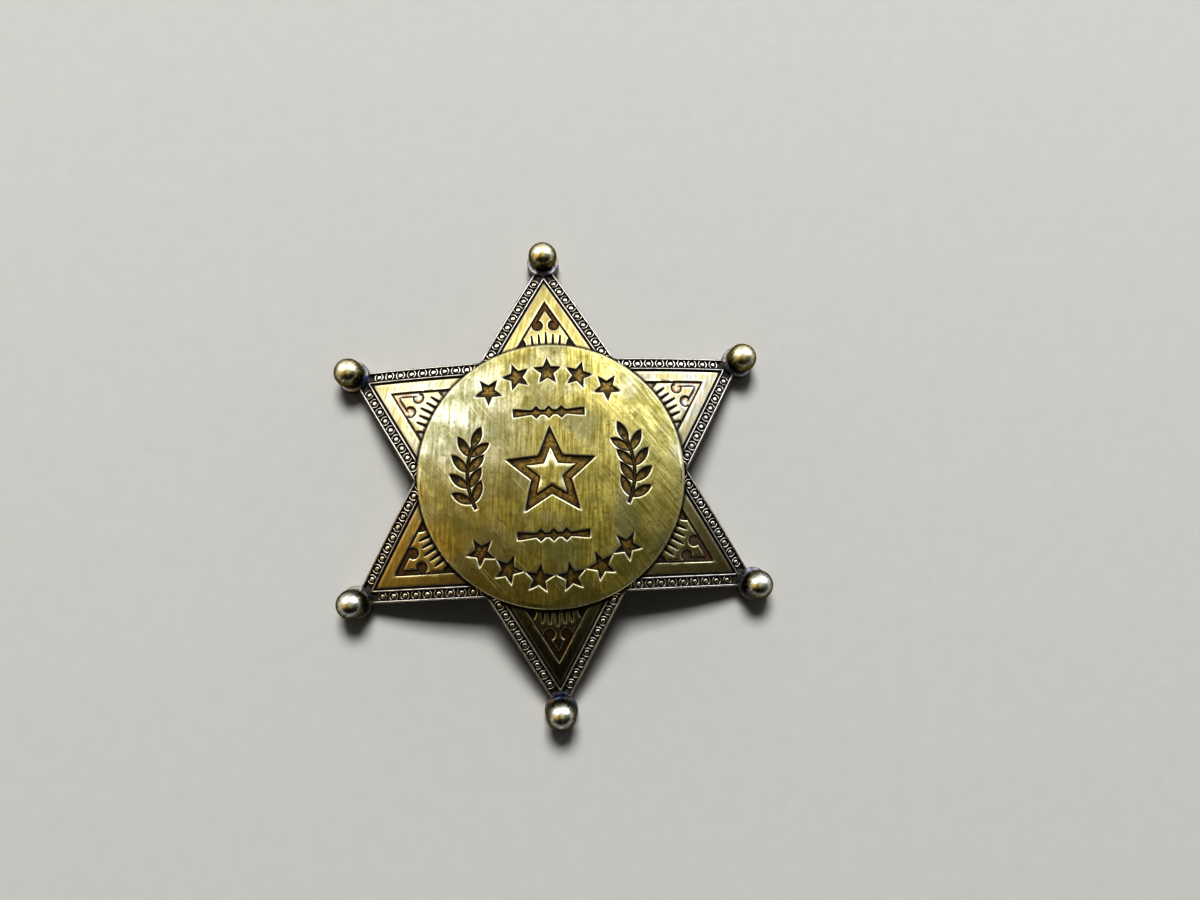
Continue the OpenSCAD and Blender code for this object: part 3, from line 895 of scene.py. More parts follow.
def ball_tip(name, angle):
    """One ball, stood on its tab square to the dome."""
    verts, faces = lathed(ball_profile(), 48)
    low = verts[:, 2] < LUMPY_H
    lumps = 0.1 * uneven(verts[:, :2] + (angle, 2 * angle), 2.1)
    verts[low, :2] *= (1 + lumps[low] * np.clip((LUMPY_H - verts[low, 2]) / LUMPY_H, 0, 1))[:, None]
    foot = np.clip((0.5 - verts[:, 2]) / 0.5, 0, 1)
    lean = -math.asin(TAB_AT / DOME_R)
    stand = Matrix.Rotation(math.radians(angle), 4, "Z") @ Matrix.Translation((0, 0, -DOME_DROP))
    stand = stand @ Matrix.Rotation(lean, 4, "X") @ Matrix.Translation((0, 0, DOME_R))
    places = [stand @ Vector(v) * MM for v in verts]
    mesh = bpy.data.meshes.new(name)
    mesh.from_pydata(places, [], faces)
    mesh.polygons.foreach_set("use_smooth", np.ones(len(mesh.polygons), bool))
    mesh.attributes.new("solder", "FLOAT", "POINT").data.foreach_set("value", foot.astype(np.float32))
    piece = bpy.data.objects.new(name, mesh)
    bpy.context.scene.collection.objects.link(piece)
    return piece


BALLS = ("ball_top", "ball_upper_left", "ball_lower_left", "ball_bottom", "ball_lower_right", "ball_upper_right")
balls = [ball_tip(name, 60 * k) for k, name in enumerate(BALLS)]
print("balls:", len(balls), "with", len(balls[0].data.polygons), "faces each")

# %% [markdown]
# ## Shared effects of the finishes
# The same few things make all of this metal look old: fine brushed lines, slow patches of tarnish, the grain of a cast
# or punched floor, and a few long scratches. Each is a small group of shader nodes with its sizes as inputs, built
# once, so every finish can use it at its own scale. Patterns are read in millimetres on the badge itself, so they stay
# put when it turns.


# %% What the groups are made of
def effect(name, inputs, outputs):
    """An empty group of shader nodes with named sockets; gives the group, its inputs and its output node."""
    tree = bpy.data.node_groups.new(name, "ShaderNodeTree")
    for socket, value in inputs.items():
        kind = "NodeSocketVector" if socket == "Vector" else "NodeSocketFloat"
        made = tree.interface.new_socket(socket, in_out="INPUT", socket_type=kind)
        if value is not None:
            made.default_value = value
    for socket in outputs:
        tree.interface.new_socket(socket, in_out="OUTPUT", socket_type="NodeSocketFloat")
    return tree, put(tree, "NodeGroupInput").outputs, put(tree, "NodeGroupOutput")


def ranged(tree, value, low, high, to_low=0.0, to_high=1.0):
    """Stretches a value from one range to another, smoothly and no further."""
    made = put(tree, "ShaderNodeMapRange", {
        "Value": value, "From Min": low, "From Max": high, "To Min": to_low, "To Max": to_high,
    }, interpolation_type="SMOOTHSTEP")
    return made.outputs[0]


def noise(tree, vector, scale, detail, rough=0.55):
    return put(tree, "ShaderNodeTexNoise", {
        "Vector": vector, "Scale": scale, "Detail": detail, "Roughness": rough,
    }).outputs[0]


def drawn_out(tree, given, turn):
    """Places turned about the upright axis and then scaled, so that a noise becomes long lines."""
    along = put(tree, "ShaderNodeMapping", {"Vector": given["Vector"], "Rotation": turn}).outputs[0]
    stretch = at(tree, given["Across"], given["Along"], 0.02)
    return put(tree, "ShaderNodeMapping", {"Vector": along, "Scale": stretch}).outputs[0]


print("node groups so far:", len(bpy.data.node_groups))


# %% Groups for brushed lines, tarnish, grain and scratches
def brushed_lines():
    sizes = {"Vector": None, "Turn": 0.0, "Across": 3.0, "Along": 0.2}
    tree, given, out = effect("brushed_lines", sizes, ["Lines"])
    along = drawn_out(tree, given, at(tree, z=given["Turn"]))
    tree.links.new(ranged(tree, noise(tree, along, 1.0, 4.0, 0.65), 0.3, 0.7), out.inputs["Lines"])
    return tree


def tarnish():
    """Wide soft patches and small specks."""
    tree, given, out = effect("tarnish", {"Vector": None, "Size": 4.0, "Cover": 0.5}, ["Patches", "Specks"])
    scale = calc(tree, "DIVIDE", 1.0, given["Size"])
    wide = noise(tree, given["Vector"], scale, 5.0, 0.62)
    low = calc(tree, "SUBTRACT", 0.75, calc(tree, "MULTIPLY", given["Cover"], 0.5))
    patches = ranged(tree, wide, calc(tree, "SUBTRACT", low, 0.12), calc(tree, "ADD", low, 0.12))
    fine = noise(tree, given["Vector"], calc(tree, "MULTIPLY", scale, 9.0), 2.0, 0.5)
    tree.links.new(patches, out.inputs["Patches"])
    tree.links.new(ranged(tree, fine, 0.62, 0.74), out.inputs["Specks"])
    return tree


def grain():
    """The height of a punched or cast floor."""
    tree, given, out = effect("grain", {"Vector": None, "Size": 0.2}, ["Height"])
    scale = calc(tree, "DIVIDE", 1.0, given["Size"])
    cells = put(tree, "ShaderNodeTexVoronoi", {"Vector": given["Vector"], "Scale": scale}).outputs["Distance"]
    soft = noise(tree, given["Vector"], calc(tree, "MULTIPLY", scale, 0.6), 3.0, 0.6)
    tree.links.new(calc(tree, "ADD", calc(tree, "MULTIPLY", cells, 0.5), soft), out.inputs["Height"])
    return tree


def scratches():
    """Long thin lines, where a stretched noise passes its middle value, and only here and there."""
    sizes = {"Vector": None, "Turn": 0.0, "Across": 1.4, "Along": 0.025}
    tree, given, out = effect("scratches", sizes, ["Lines"])
    turn = at(tree, z=given["Turn"])
    along = drawn_out(tree, given, turn)
    off = calc(tree, "ABSOLUTE", calc(tree, "SUBTRACT", noise(tree, along, 1.0, 1.0), 0.5))
    place = put(tree, "ShaderNodeVectorMath", {0: given["Vector"], 1: turn}, operation="ADD").outputs[0]
    here = ranged(tree, noise(tree, place, 0.35, 3.0), 0.5, 0.6)
    tree.links.new(calc(tree, "MULTIPLY", ranged(tree, off, 0.003, 0.016, 1.0, 0.0), here), out.inputs["Lines"])
    return tree


BRUSHED, TARNISH, GRAIN, SCRATCHES = brushed_lines(), tarnish(), grain(), scratches()
print("shared effects:", *(group.name for group in (BRUSHED, TARNISH, GRAIN, SCRATCHES)))


# %% Placing effects in a finish
def noted(piece):
    """The names of the values kept with a piece's points."""
    return [a.name for a in piece.data.attributes if a.data_type == "FLOAT"]


def finish_named(name):
    """A new material; gives it with its tree, its Principled shader and places in millimetres."""
    made = bpy.data.materials.new(name)
    made.use_nodes = True
    tree = made.node_tree
    shader = tree.nodes["Principled BSDF"]
    places = put(tree, "ShaderNodeTexCoord").outputs["Object"]
    mm = put(tree, "ShaderNodeVectorMath", {0: places, "Scale": 1 / MM}, operation="SCALE").outputs[0]
    return made, tree, shader, mm


def placed(tree, group, **inputs):
    """Places a shared effect in a finish with its own values."""
    made = put(tree, "ShaderNodeGroup", node_tree=group)
    for name, value in inputs.items():
        if isinstance(value, bpy.types.NodeSocket):
            tree.links.new(value, made.inputs[name])
        else:
            made.inputs[name].default_value = value
    return made.outputs


def mixed(tree, share, a, b):
    """Two colours mixed by a share."""
    a, b = (c if isinstance(c, bpy.types.NodeSocket) else (*c, 1.0) for c in (a, b))
    return put(tree, "ShaderNodeMix", {0: share, 6: a, 7: b}, data_type="RGBA").outputs[2]


def kept(tree, name):
    """A value kept with the points of a piece."""
    return put(tree, "ShaderNodeAttribute", attribute_name=name).outputs["Fac"]


def bumped(tree, height, strength, distance, under=None):
    """A normal made uneven by a height, over another such normal; the distance is in millimetres."""
    values = {"Height": height, "Strength": strength, "Distance": distance * MM}
    return put(tree, "ShaderNodeBump", values | ({"Normal": under} if under else {})).outputs[0]


print("finishes that came with the packed model:", *bpy.data.materials.keys())

# %% [markdown]
# ## Antique brass for the star
# The star's panels are brushed, and run from yellow brass at the top point to a pale metal with tan stains at its
# sides. The border was dipped dark and rubbed back, so its raised lines and beads shine almost like silver over a
# black floor. The sunk cuts keep a brown, grainy floor. Round the balls the heat of soldering has left a dark
# grey-lilac skin with patches of blue. One finish holds it all, led by the values kept with the points, because on
# the real star it is all one skin of metal.


# %% The colours of the star's metal
def panel_colour(tree, mm, lines):
    """Brushed metal that is yellow or pale with tan stains, under brown patches."""
    patches = placed(tree, TARNISH, Vector=mm, Size=5.0, Cover=0.42)
    pale_panel = mixed(tree, lines, (0.21, 0.205, 0.185), (0.33, 0.325, 0.305))
    tanned = mixed(tree, lines, (0.24, 0.195, 0.105), (0.36, 0.31, 0.20))
    pale_panel = mixed(tree, ranged(tree, noise(tree, mm, 0.5, 3.0), 0.45, 0.6), pale_panel, tanned)
    yellow_panel = mixed(tree, lines, (0.40, 0.34, 0.14), (0.74, 0.68, 0.34))
    panel = mixed(tree, kept(tree, "yellow"), pale_panel, yellow_panel)
    return mixed(tree, calc(tree, "MULTIPLY", patches["Patches"], 0.55), panel, (0.32, 0.23, 0.09))


def floor_colour(tree, mm, pits):
    """The floors of the cuts: brown grain, or in the pale points copper and grey stains."""
    brown = mixed(tree, ranged(tree, pits, 0.35, 0.95), (0.045, 0.021, 0.007), (0.19, 0.10, 0.035))
    spots = ranged(tree, noise(tree, mm, 0.9, 3.0), 0.42, 0.6)
    stained = mixed(tree, spots, (0.84, 0.60, 0.40), (0.78, 0.75, 0.73))
    return mixed(tree, kept(tree, "pale"), brown, stained)


def solder_colour(tree, mm):
    """Metal burnt grey-lilac and, in patches, blue."""
    soot = ranged(tree, noise(tree, mm, 2.2, 3.0), 0.4, 0.62)
    burnt = mixed(tree, soot, (0.045, 0.038, 0.042), (0.17, 0.152, 0.165))
    sheen = ranged(tree, noise(tree, mm, 1.6, 2.0), 0.35, 0.65)
    blued = mixed(tree, sheen, (0.03, 0.045, 0.10), (0.11, 0.14, 0.26))
    return mixed(tree, ranged(tree, noise(tree, mm, 0.45, 2.0), 0.46, 0.56), burnt, blued)


print("values kept with the star's points:", *noted(cast_star))


# %% The star's finish
def star_brass():
    made, tree, shader, mm = finish_named("star_brass")
    rubbed, dirt_and_shade, sunk, border, solder = (kept(tree, n) for n in ("rubbed", "dirt_and_shade", "sunk", "border", "solder"))
    lines = placed(tree, BRUSHED, Vector=mm, Turn=0.25, Across=2.6, Along=0.25)["Lines"]
    pits = placed(tree, GRAIN, Vector=mm, Size=0.3)["Height"]
    colour = mixed(tree, sunk, panel_colour(tree, mm, lines), floor_colour(tree, mm, pits))
    dipped = mixed(tree, ranged(tree, pits, 0.4, 0.9), (0.045, 0.040, 0.043), (0.25, 0.23, 0.225))
    colour = mixed(tree, border, colour, dipped)
    colour = mixed(tree, solder, colour, solder_colour(tree, mm))
    worn = calc(tree, "MULTIPLY", rubbed, ranged(tree, noise(tree, mm, 1.1, 3.0), 0.25, 0.6, 0.45, 1.0))
    bright = mixed(tree, border, (0.86, 0.80, 0.58), (0.84, 0.80, 0.76))
    colour = mixed(tree, worn, colour, bright)
    # Dirt and painted shade: near black at the feet of walls, in the channel, in the rays and round the disc
    grime_and_shade = calc(tree, "MULTIPLY", dirt_and_shade, ranged(tree, noise(tree, mm, 2.0, 3.0), 0.3, 0.7, 0.93, 1.0))
    colour = mixed(tree, grime_and_shade, colour, (0.018, 0.014, 0.014))
    tree.links.new(colour, shader.inputs["Base Color"])
    rough = ranged(tree, lines, 0.0, 1.0, 0.34, 0.24)
    rough = calc(tree, "ADD", rough, calc(tree, "MULTIPLY", sunk, 0.14))
    rough = calc(tree, "ADD", rough, calc(tree, "MULTIPLY", grime_and_shade, 0.25))
    tree.links.new(calc(tree, "ADD", rough, calc(tree, "MULTIPLY", solder, 0.12)), shader.inputs["Roughness"])
    tree.links.new(calc(tree, "SUBTRACT", 1.0, calc(tree, "MULTIPLY", grime_and_shade, 0.6)), shader.inputs["Metallic"])
    hollow = calc(tree, "ADD", calc(tree, "MAXIMUM", sunk, calc(tree, "MULTIPLY", solder, 0.4)), 0.06)
    rugged = bumped(tree, calc(tree, "MULTIPLY", pits, hollow), 0.55, 0.06)
    tree.links.new(bumped(tree, lines, 0.25, 0.012, rugged), shader.inputs["Normal"])
    return made


STAR_BRASS = star_brass()
cast_star.data.materials.append(STAR_BRASS)
print("finish:", STAR_BRASS.name, "of", len(STAR_BRASS.node_tree.nodes), "nodes")

# %% [markdown]
# ### Beads, reels and balls
# The tops of the beads and reels are rubbed to a warm silver, and their feet are black with dirt and painted shade.
# How far a place stands off the dome tells the two apart, so the finish works the level out from the place itself. The
# balls are smooth, worn to pale metal on top, darker down their sides with tarnish and painted shade, and sooty at the
# foot. The lower three have gone grey.


# %% The level above or below the dome, as a shared effect
def dome_level():
    tree, given, out = effect("dome_level", {"Vector": None}, ["Level"])
    way = put(tree, "ShaderNodeVectorMath", {0: given["Vector"], 1: (0, 0, DOME_DROP)}, operation="ADD").outputs[0]
    far = put(tree, "ShaderNodeVectorMath", {0: way}, operation="LENGTH").outputs["Value"]
    tree.links.new(calc(tree, "SUBTRACT", far, float(DOME_R)), out.inputs["Level"])
    return tree


LEVEL = dome_level()
print("shared effect:", LEVEL.name)


# %% The finishes of beads, reels and balls
# Levels where a bead goes from black to bright, and heights where a ball goes from dark to pale: wear and painted shade
BEAD_WEAR_AND_SHADE, BALL_WEAR_AND_SHADE = (-0.34, -0.19), (4.4, 5.4)


def bead_brass():
    made, tree, shader, mm = finish_named("bead_brass")
    level = placed(tree, LEVEL, Vector=mm)["Level"]
    spots = noise(tree, mm, 1.3, 3.0)
    # Wear brightens the tops, and dirt and painted shade blacken the feet below them
    worn = calc(tree, "MULTIPLY", ranged(tree, level, *BEAD_WEAR_AND_SHADE), ranged(tree, spots, 0.3, 0.6, 0.7, 1.0))
    metal = mixed(tree, ranged(tree, spots, 0.3, 0.6), (0.66, 0.60, 0.52), (0.94, 0.92, 0.88))
    tree.links.new(mixed(tree, worn, (0.03, 0.022, 0.022), metal), shader.inputs["Base Color"])
    tree.links.new(ranged(tree, worn, 0.0, 1.0, 0.6, 0.22), shader.inputs["Roughness"])
    tree.links.new(ranged(tree, worn, 0.0, 0.5, 0.4, 1.0), shader.inputs["Metallic"])
    tree.links.new(bumped(tree, noise(tree, mm, 5.0, 2.0), 0.3, 0.03), shader.inputs["Normal"])
    return made


def ball_brass(name, side_tarnish_and_shade, worn):
    """A ball's finish: tarnish and painted shade darken its sides, its foot is dark, and its top is worn pale."""
    made, tree, shader, mm = finish_named(name)
    foot = kept(tree, "solder")
    height = put(tree, "ShaderNodeSeparateXYZ", {0: mm}).outputs[2]
    patches = placed(tree, TARNISH, Vector=mm, Size=1.6, Cover=0.45)
    lines = placed(tree, BRUSHED, Vector=mm, Turn=0.9, Across=4.0, Along=0.6)["Lines"]
    high = calc(tree, "ADD", height, calc(tree, "MULTIPLY", lines, 0.5))
    # Pale on top and darker down the sides, by height: wear and painted shade
    colour = mixed(tree, ranged(tree, high, *BALL_WEAR_AND_SHADE), side_tarnish_and_shade, worn)
    colour = mixed(tree, calc(tree, "MULTIPLY", patches["Patches"], 0.25), colour, (0.24, 0.19, 0.09))
    colour = mixed(tree, calc(tree, "MULTIPLY", patches["Specks"], 0.4), colour, (0.08, 0.06, 0.03))
    colour = mixed(tree, ranged(tree, foot, 0.1, 0.7), colour, (0.04, 0.03, 0.035))
    tree.links.new(colour, shader.inputs["Base Color"])
    rough = ranged(tree, patches["Patches"], 0.0, 1.0, 0.24, 0.34)
    tree.links.new(calc(tree, "ADD", rough, calc(tree, "MULTIPLY", foot, 0.3)), shader.inputs["Roughness"])
    shader.inputs["Metallic"].default_value = 1.0
    shader.inputs["Specular Tint"].default_value = (0.55, 0.48, 0.34, 1.0)
    pits = placed(tree, GRAIN, Vector=mm, Size=0.35)["Height"]
    rugged = bumped(tree, calc(tree, "MULTIPLY", pits, calc(tree, "ADD", foot, 0.08)), 0.5, 0.05)
    tree.links.new(bumped(tree, lines, 0.2, 0.01, rugged), shader.inputs["Normal"])
    return made


BEAD_BRASS = bead_brass()
BALL_BRASS = ball_brass("ball_brass", (0.15, 0.13, 0.045), (0.96, 0.92, 0.72))
GREY_BALL = ball_brass("grey_ball", (0.11, 0.11, 0.085), (0.78, 0.80, 0.76))
for ball in balls:
    ball.data.materials.append(GREY_BALL if ball.name in BALLS[2:5] else BALL_BRASS)
bead_and_reel = string_of_beads(BEAD_BRASS)
print("finishes:", BEAD_BRASS.name, BALL_BRASS.name, GREY_BALL.name)

# %% [markdown]
# ### The disc's brushed brass
# The disc was polished with a coarse mop: straight up and down over most of it, and slanting at its right side. Its
# brass is golden and in places faded, with olive smudges where hands have dulled it, long scratches, and a pale patch
# at the upper left that is a painted highlight for glare. The engraving keeps a brown, grainy floor with a black line
# of dirt and painted shade at the foot of its walls, and a bright rubbed edge.


# %% The disc's lines, scratches and metal
# The middle of the pale patch painted as a highlight for glare, and how far from it the patch starts and is full
GLARE_SPOT, GLARE_REACH = (-14.0, 9.0, 8.0), (17.0, 7.0)


def mopped_lines(tree, mm):
    """Brushed lines that run upright, and slant at the right side."""
    upright = placed(tree, BRUSHED, Vector=mm, Turn=0.06, Across=2.6, Along=0.24)["Lines"]
    slanting = placed(tree, BRUSHED, Vector=mm, Turn=-0.65, Across=2.6, Along=0.2)["Lines"]
    side = put(tree, "ShaderNodeSeparateXYZ", {0: mm}).outputs[0]
    swept = calc(tree, "ADD", side, calc(tree, "MULTIPLY", noise(tree, mm, 0.12, 2.0), 16.0))
    return put(tree, "ShaderNodeMix", {0: ranged(tree, swept, 14.0, 20.0), 2: upright, 3: slanting}).outputs[0]


def crossed_scratches(tree, mm):
    """Long scratches in two directions."""
    one_way = placed(tree, SCRATCHES, Vector=mm, Turn=-0.7)["Lines"]
    other_way = placed(tree, SCRATCHES, Vector=mm, Turn=0.45, Across=0.9)["Lines"]
    return calc(tree, "MAXIMUM", one_way, calc(tree, "MULTIPLY", other_way, 0.4))


def metal_with_painted_glare(tree, mm, lines):
    """Golden metal that has faded in places, with a pale patch at the upper left painted as a highlight for glare."""
    golden = mixed(tree, lines, (0.34, 0.275, 0.065), (0.88, 0.80, 0.38))
    faded = mixed(tree, lines, (0.44, 0.41, 0.23), (0.88, 0.85, 0.64))
    metal = mixed(tree, ranged(tree, noise(tree, mm, 0.17, 4.0, 0.6), 0.46, 0.62), golden, faded)
    from_glare = put(tree, "ShaderNodeVectorMath", {0: mm, 1: GLARE_SPOT}, operation="DISTANCE").outputs["Value"]
    from_glare = calc(tree, "ADD", from_glare, calc(tree, "MULTIPLY", noise(tree, mm, 0.3, 3.0), 6.0))
    # Painted highlight: the pale colour that stands for glare at the upper left
    painted_glare = mixed(tree, lines, (0.46, 0.435, 0.29), (0.88, 0.86, 0.74))
    return mixed(tree, ranged(tree, from_glare, *GLARE_REACH), metal, painted_glare)


print("values kept with the disc's points:", *noted(engraved_disc))


# %% The disc's finish
def disc_brass():
    made, tree, shader, mm = finish_named("disc_brass")
    rubbed, dirt_and_shade, sunk = (kept(tree, n) for n in ("rubbed", "dirt_and_shade", "sunk"))
    lines = mopped_lines(tree, mm)
    scratched = crossed_scratches(tree, mm)
    smudges = placed(tree, TARNISH, Vector=mm, Size=6.5, Cover=0.55)
    mottled = ranged(tree, noise(tree, mm, 1.6, 5.0, 0.7), 0.5, 0.66)
    metal = metal_with_painted_glare(tree, mm, lines)
    metal = mixed(tree, calc(tree, "MULTIPLY", smudges["Patches"], 0.7), metal, (0.20, 0.18, 0.055))
    metal = mixed(tree, calc(tree, "MULTIPLY", mottled, 0.45), metal, (0.17, 0.14, 0.035))
    metal = mixed(tree, calc(tree, "MULTIPLY", smudges["Specks"], 0.5), metal, (0.12, 0.085, 0.025))
    metal = mixed(tree, calc(tree, "MULTIPLY", scratched, 0.5), metal, (0.95, 0.88, 0.50))
    pits = placed(tree, GRAIN, Vector=mm, Size=0.32)["Height"]
    floor = mixed(tree, ranged(tree, pits, 0.35, 0.95), (0.08, 0.045, 0.012), (0.38, 0.265, 0.09))
    colour = mixed(tree, rubbed, metal, (0.97, 0.94, 0.78))
    colour = mixed(tree, sunk, colour, floor)
    # Dirt and painted shade: near black at the foot of the engraving's walls
    colour = mixed(tree, dirt_and_shade, colour, (0.014, 0.010, 0.007))
    tree.links.new(colour, shader.inputs["Base Color"])
    rough = ranged(tree, lines, 0.0, 1.0, 0.36, 0.26)
    rough = calc(tree, "ADD", rough, calc(tree, "MULTIPLY", smudges["Patches"], 0.08))
    rough = calc(tree, "ADD", rough, calc(tree, "MULTIPLY", sunk, 0.12))
    tree.links.new(rough, shader.inputs["Roughness"])
    tree.links.new(calc(tree, "SUBTRACT", 1.0, calc(tree, "MULTIPLY", dirt_and_shade, 0.6)), shader.inputs["Metallic"])
    rugged = bumped(tree, calc(tree, "MULTIPLY", pits, sunk), 0.6, 0.07)
    rugged = bumped(tree, scratched, -0.3, 0.03, rugged)
    tree.links.new(bumped(tree, lines, 0.5, 0.022, rugged), shader.inputs["Normal"])
    return made


DISC_BRASS = disc_brass()
engraved_disc.data.materials.append(DISC_BRASS)
print("finish:", DISC_BRASS.name, "of", len(DISC_BRASS.node_tree.nodes), "nodes")

# %% [markdown]
# ### The pin at the back
# The pin never shows from the front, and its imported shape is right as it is, so it stays and only gets a finish:
# drawn brass with fine lines along its length and a dull tarnish.


# %% The pin's finish
def pin_brass():
    made, tree, shader, mm = finish_named("pin_brass")
    lines = placed(tree, BRUSHED, Vector=mm, Turn=1.57, Across=5.0, Along=0.3)["Lines"]
    patches = placed(tree, TARNISH, Vector=mm, Size=3.0, Cover=0.5)
    colour = mixed(tree, lines, (0.46, 0.38, 0.20), (0.62, 0.54, 0.32))
    colour = mixed(tree, calc(tree, "MULTIPLY", patches["Patches"], 0.6), colour, (0.24, 0.18, 0.09))
    tree.links.new(colour, shader.inputs["Base Color"])
    tree.links.new(ranged(tree, patches["Patches"], 0.0, 1.0, 0.3, 0.45), shader.inputs["Roughness"])
    shader.inputs["Metallic"].default_value = 1.0
    tree.links.new(bumped(tree, lines, 0.3, 0.015), shader.inputs["Normal"])
    return made


PIN_BRASS = pin_brass()
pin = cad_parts["back_pin"]
for slot in pin.material_slots:
    slot.link = "OBJECT"
    slot.material = PIN_BRASS
print("the pin keeps its packed mesh, with", len(pin.material_slots), "finish")

# %% [markdown]
# ## Floor and light
# The badge lies on a plain pale board that curves up far away, so that low views end in a pale wall too. Most of the
# brass's look is what it mirrors. In the photo that is a wide bright room beyond its top, and a dim one with warm wood
# on the viewer's side. A sky that changes from side to side stands in for that room, with two soft windows for the
# glare at the upper left and right. Only the metal mirrors these. A skylight that it doesn't mirror lights the floor
# by itself, which gives the badge its one firm shadow. A few lamps alone would leave the domed brass black between
# small hot spots.


# %% The floor
# Radii and heights of the board, in metres
BOARD = ((0.5, 0), (1.0, 0), (1.2, 0.015), (1.37, 0.055), (1.5, 0.125), (1.58, 0.22), (1.61, 0.33), (1.62, 0.46))


def round_board(profile, around):
    """A lathed board, open at its far edge."""
    verts, faces = lathed([(0, 0), *profile, (0, 0)], around)
    last = len(verts) - 1
    board = bpy.data.meshes.new("floor")
    board.from_pydata(verts[:last].tolist(), [], [face for face in faces if last not in face])
    board.polygons.foreach_set("use_smooth", np.ones(len(board.polygons), bool))
    return board


def floor_paint():
    """Pale paint; its far wall is dark paint under a painted glow, weaker on the viewer's side."""
    made, tree, shader, mm = finish_named("floor_paint")
    tint = mixed(tree, noise(tree, mm, 0.35, 4.0), (0.78, 0.78, 0.755), (0.84, 0.835, 0.81))
    spot = put(tree, "ShaderNodeSeparateXYZ", {0: mm}).outputs
    wall = ranged(tree, spot[2], 5.0, 180.0)
    # Painted glow: the far wall has a dark base colour and gives off pale light, weaker on the viewer's side, though it
    # is no lamp
    tree.links.new(mixed(tree, wall, tint, (0.1, 0.1, 0.1)), shader.inputs["Base Color"])
    shader.inputs["Emission Color"].default_value = (0.94, 0.94, 0.92, 1.0)
    painted_glow = ranged(tree, spot[1], -1200.0, 0.0, 0.24, 0.48)
    tree.links.new(calc(tree, "MULTIPLY", wall, painted_glow), shader.inputs["Emission Strength"])
    shader.inputs["Roughness"].default_value = 0.75
    return made


board = round_board(BOARD, 96)
board.materials.append(floor_paint())
floor = bpy.data.objects.new("floor", board)
bpy.context.scene.collection.objects.link(floor)
# A hair below the badge, so that the two share no plane
floor.location.z = -0.02 * MM
print("floor:", len(board.polygons), "faces")


# %% The windows
WINDOW_FAR = 2.4


def window(name, azimuth, elevation, width, height, radiance, colour, in_metal=True):
    """A soft window that faces the badge, seen in its metal or else lighting the floor; azimuth is clockwise."""
    light = bpy.data.lights.new(name, "AREA")
    light.shape = "RECTANGLE"
    light.size, light.size_y = width, height
    light.energy = radiance * math.pi * width * height
    light.color = colour
    a, e = math.radians(azimuth), math.radians(elevation)
    way = Vector((math.sin(a) * math.cos(e), math.cos(a) * math.cos(e), math.sin(e)))
    piece = bpy.data.objects.new(name, light)
    bpy.context.scene.collection.objects.link(piece)
    piece.visible_glossy = in_metal
    piece.visible_diffuse = not in_metal
    piece.matrix_world = Matrix.Translation(way * WINDOW_FAR) @ way.to_track_quat("Z", "Y").to_matrix().to_4x4()


window("window_left", -51, 50, 0.82, 0.75, 2.7, (0.80, 0.89, 1.0))
window("window_right", 46, 46, 0.89, 0.89, 1.0, (0.92, 0.96, 1.0))
window("skylight", 0, 50, 1.0, 0.75, 15.6, (0.99, 0.985, 0.97), in_metal=False)
print("lights:", *bpy.data.lights.keys())

# %% The room that the metal mirrors
ROOM_STRENGTH = 3.0
# How bright the room is, from behind the viewer (-1) to beyond the badge (1)
AHEAD = (
    (-0.52, (0.003, 0.003, 0.003)), (-0.42, (0.032, 0.032, 0.028)), (-0.24, (0.135, 0.135, 0.12)),
    (-0.1, (0.19, 0.19, 0.17)), (0.13, (0.25, 0.25, 0.24)), (0.36, (0.54, 0.54, 0.52)), (0.5, (0.68, 0.68, 0.64)),
    (0.6, (1.6, 1.58, 1.45)), (0.7, (0.85, 0.84, 0.8)), (0.8, (0.74, 0.73, 0.69)), (1.0, (0.4, 0.4, 0.37)),
)
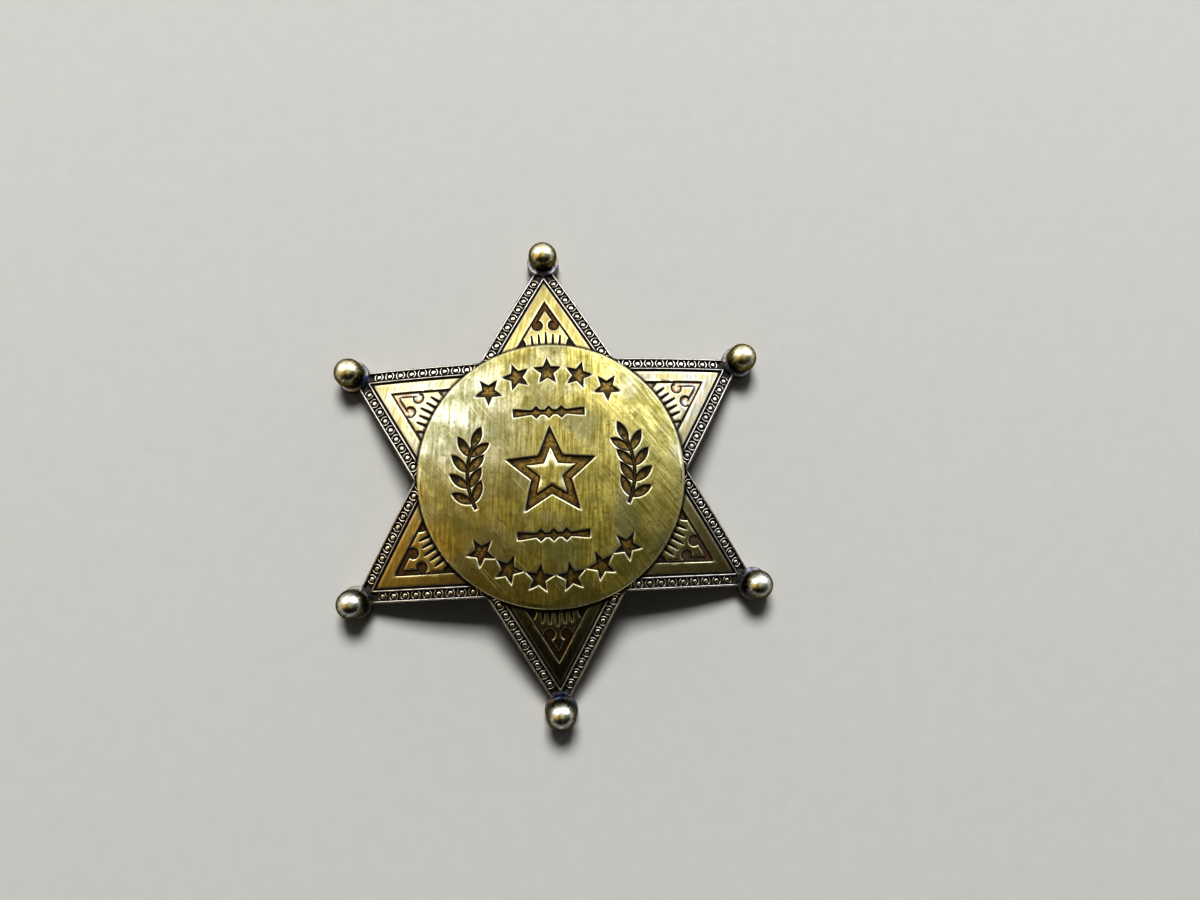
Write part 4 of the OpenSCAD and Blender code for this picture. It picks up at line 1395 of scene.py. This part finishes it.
# Its tint from left (-1) to right (1), on the viewer's side and beyond the badge
NEAR_TINT = (
    (-0.6, (1.0, 0.68, 0.22)), (-0.3, (0.17, 0.12, 0.015)), (0.05, (0.80, 0.76, 0.38)), (0.22, (0.66, 0.64, 0.37)),
    (0.5, (0.19, 0.175, 0.14)),
)
FAR_TINT = (
    (-0.9, (0.7, 0.69, 0.66)), (-0.5, (0.48, 0.47, 0.44)), (-0.2, (0.37, 0.36, 0.34)), (0.2, (0.45, 0.44, 0.40)),
    (0.5, (0.68, 0.72, 0.84)), (0.9, (0.86, 0.9, 1.0)),
)


def ramp(tree, value, stops):
    """A colour that follows a value from -1 to 1 through a few stops."""
    share = calc(tree, "ADD", calc(tree, "MULTIPLY", value, 0.5), 0.5)
    made = put(tree, "ShaderNodeValToRGB", {0: share})
    marks = made.color_ramp.elements
    while len(marks) < len(stops):
        marks.new(0.5)
    for mark, (place, colour) in zip(marks, stops):
        mark.position = place / 2 + 0.5
        mark.color = (*colour, 1)
    return made.outputs[0]


def room():
    """A bright wide room beyond the badge, and a dim one with warm wood to the left behind the viewer."""
    sky = bpy.data.worlds.new("room")
    bpy.context.scene.world = sky
    sky.use_nodes = True
    tree = sky.node_tree
    way = put(tree, "ShaderNodeSeparateXYZ", {0: put(tree, "ShaderNodeTexCoord").outputs["Generated"]}).outputs
    near, far = ramp(tree, way[0], NEAR_TINT), ramp(tree, way[0], FAR_TINT)
    tint = mixed(tree, ranged(tree, way[1], -0.05, 0.35), near, far)
    light = put(tree, "ShaderNodeMix", {0: 1.0, 6: ramp(tree, way[1], AHEAD), 7: tint}, data_type="RGBA")
    light.blend_type = "MULTIPLY"
    background = tree.nodes["Background"]
    tree.links.new(light.outputs[2], background.inputs[0])
    background.inputs[1].default_value = ROOM_STRENGTH
    # Only the metal shows the room: it adds no light to the floor
    sky.cycles_visibility.diffuse = False
    return sky


ROOM = room()
view = bpy.context.scene.view_settings
view.view_transform, view.look, view.exposure = "Standard", "High Contrast", 0.1
print("the sky:", ROOM.name, "with", len(AHEAD), "steps of brightness")

# %% [markdown]
# ## Handing the pieces to the frame
# Each piece rides on the badge's one body, and the imported node that it takes the place of is hidden. The soldered
# balls and the string of beads take the star's place too, because on the real badge they are one metal with it.

# %% Pieces and nodes
for piece in (cast_star, bead_and_reel, *balls):
    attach(piece, "root")
    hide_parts("star_plate")
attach(engraved_disc, "root")
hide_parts("centre_disc")
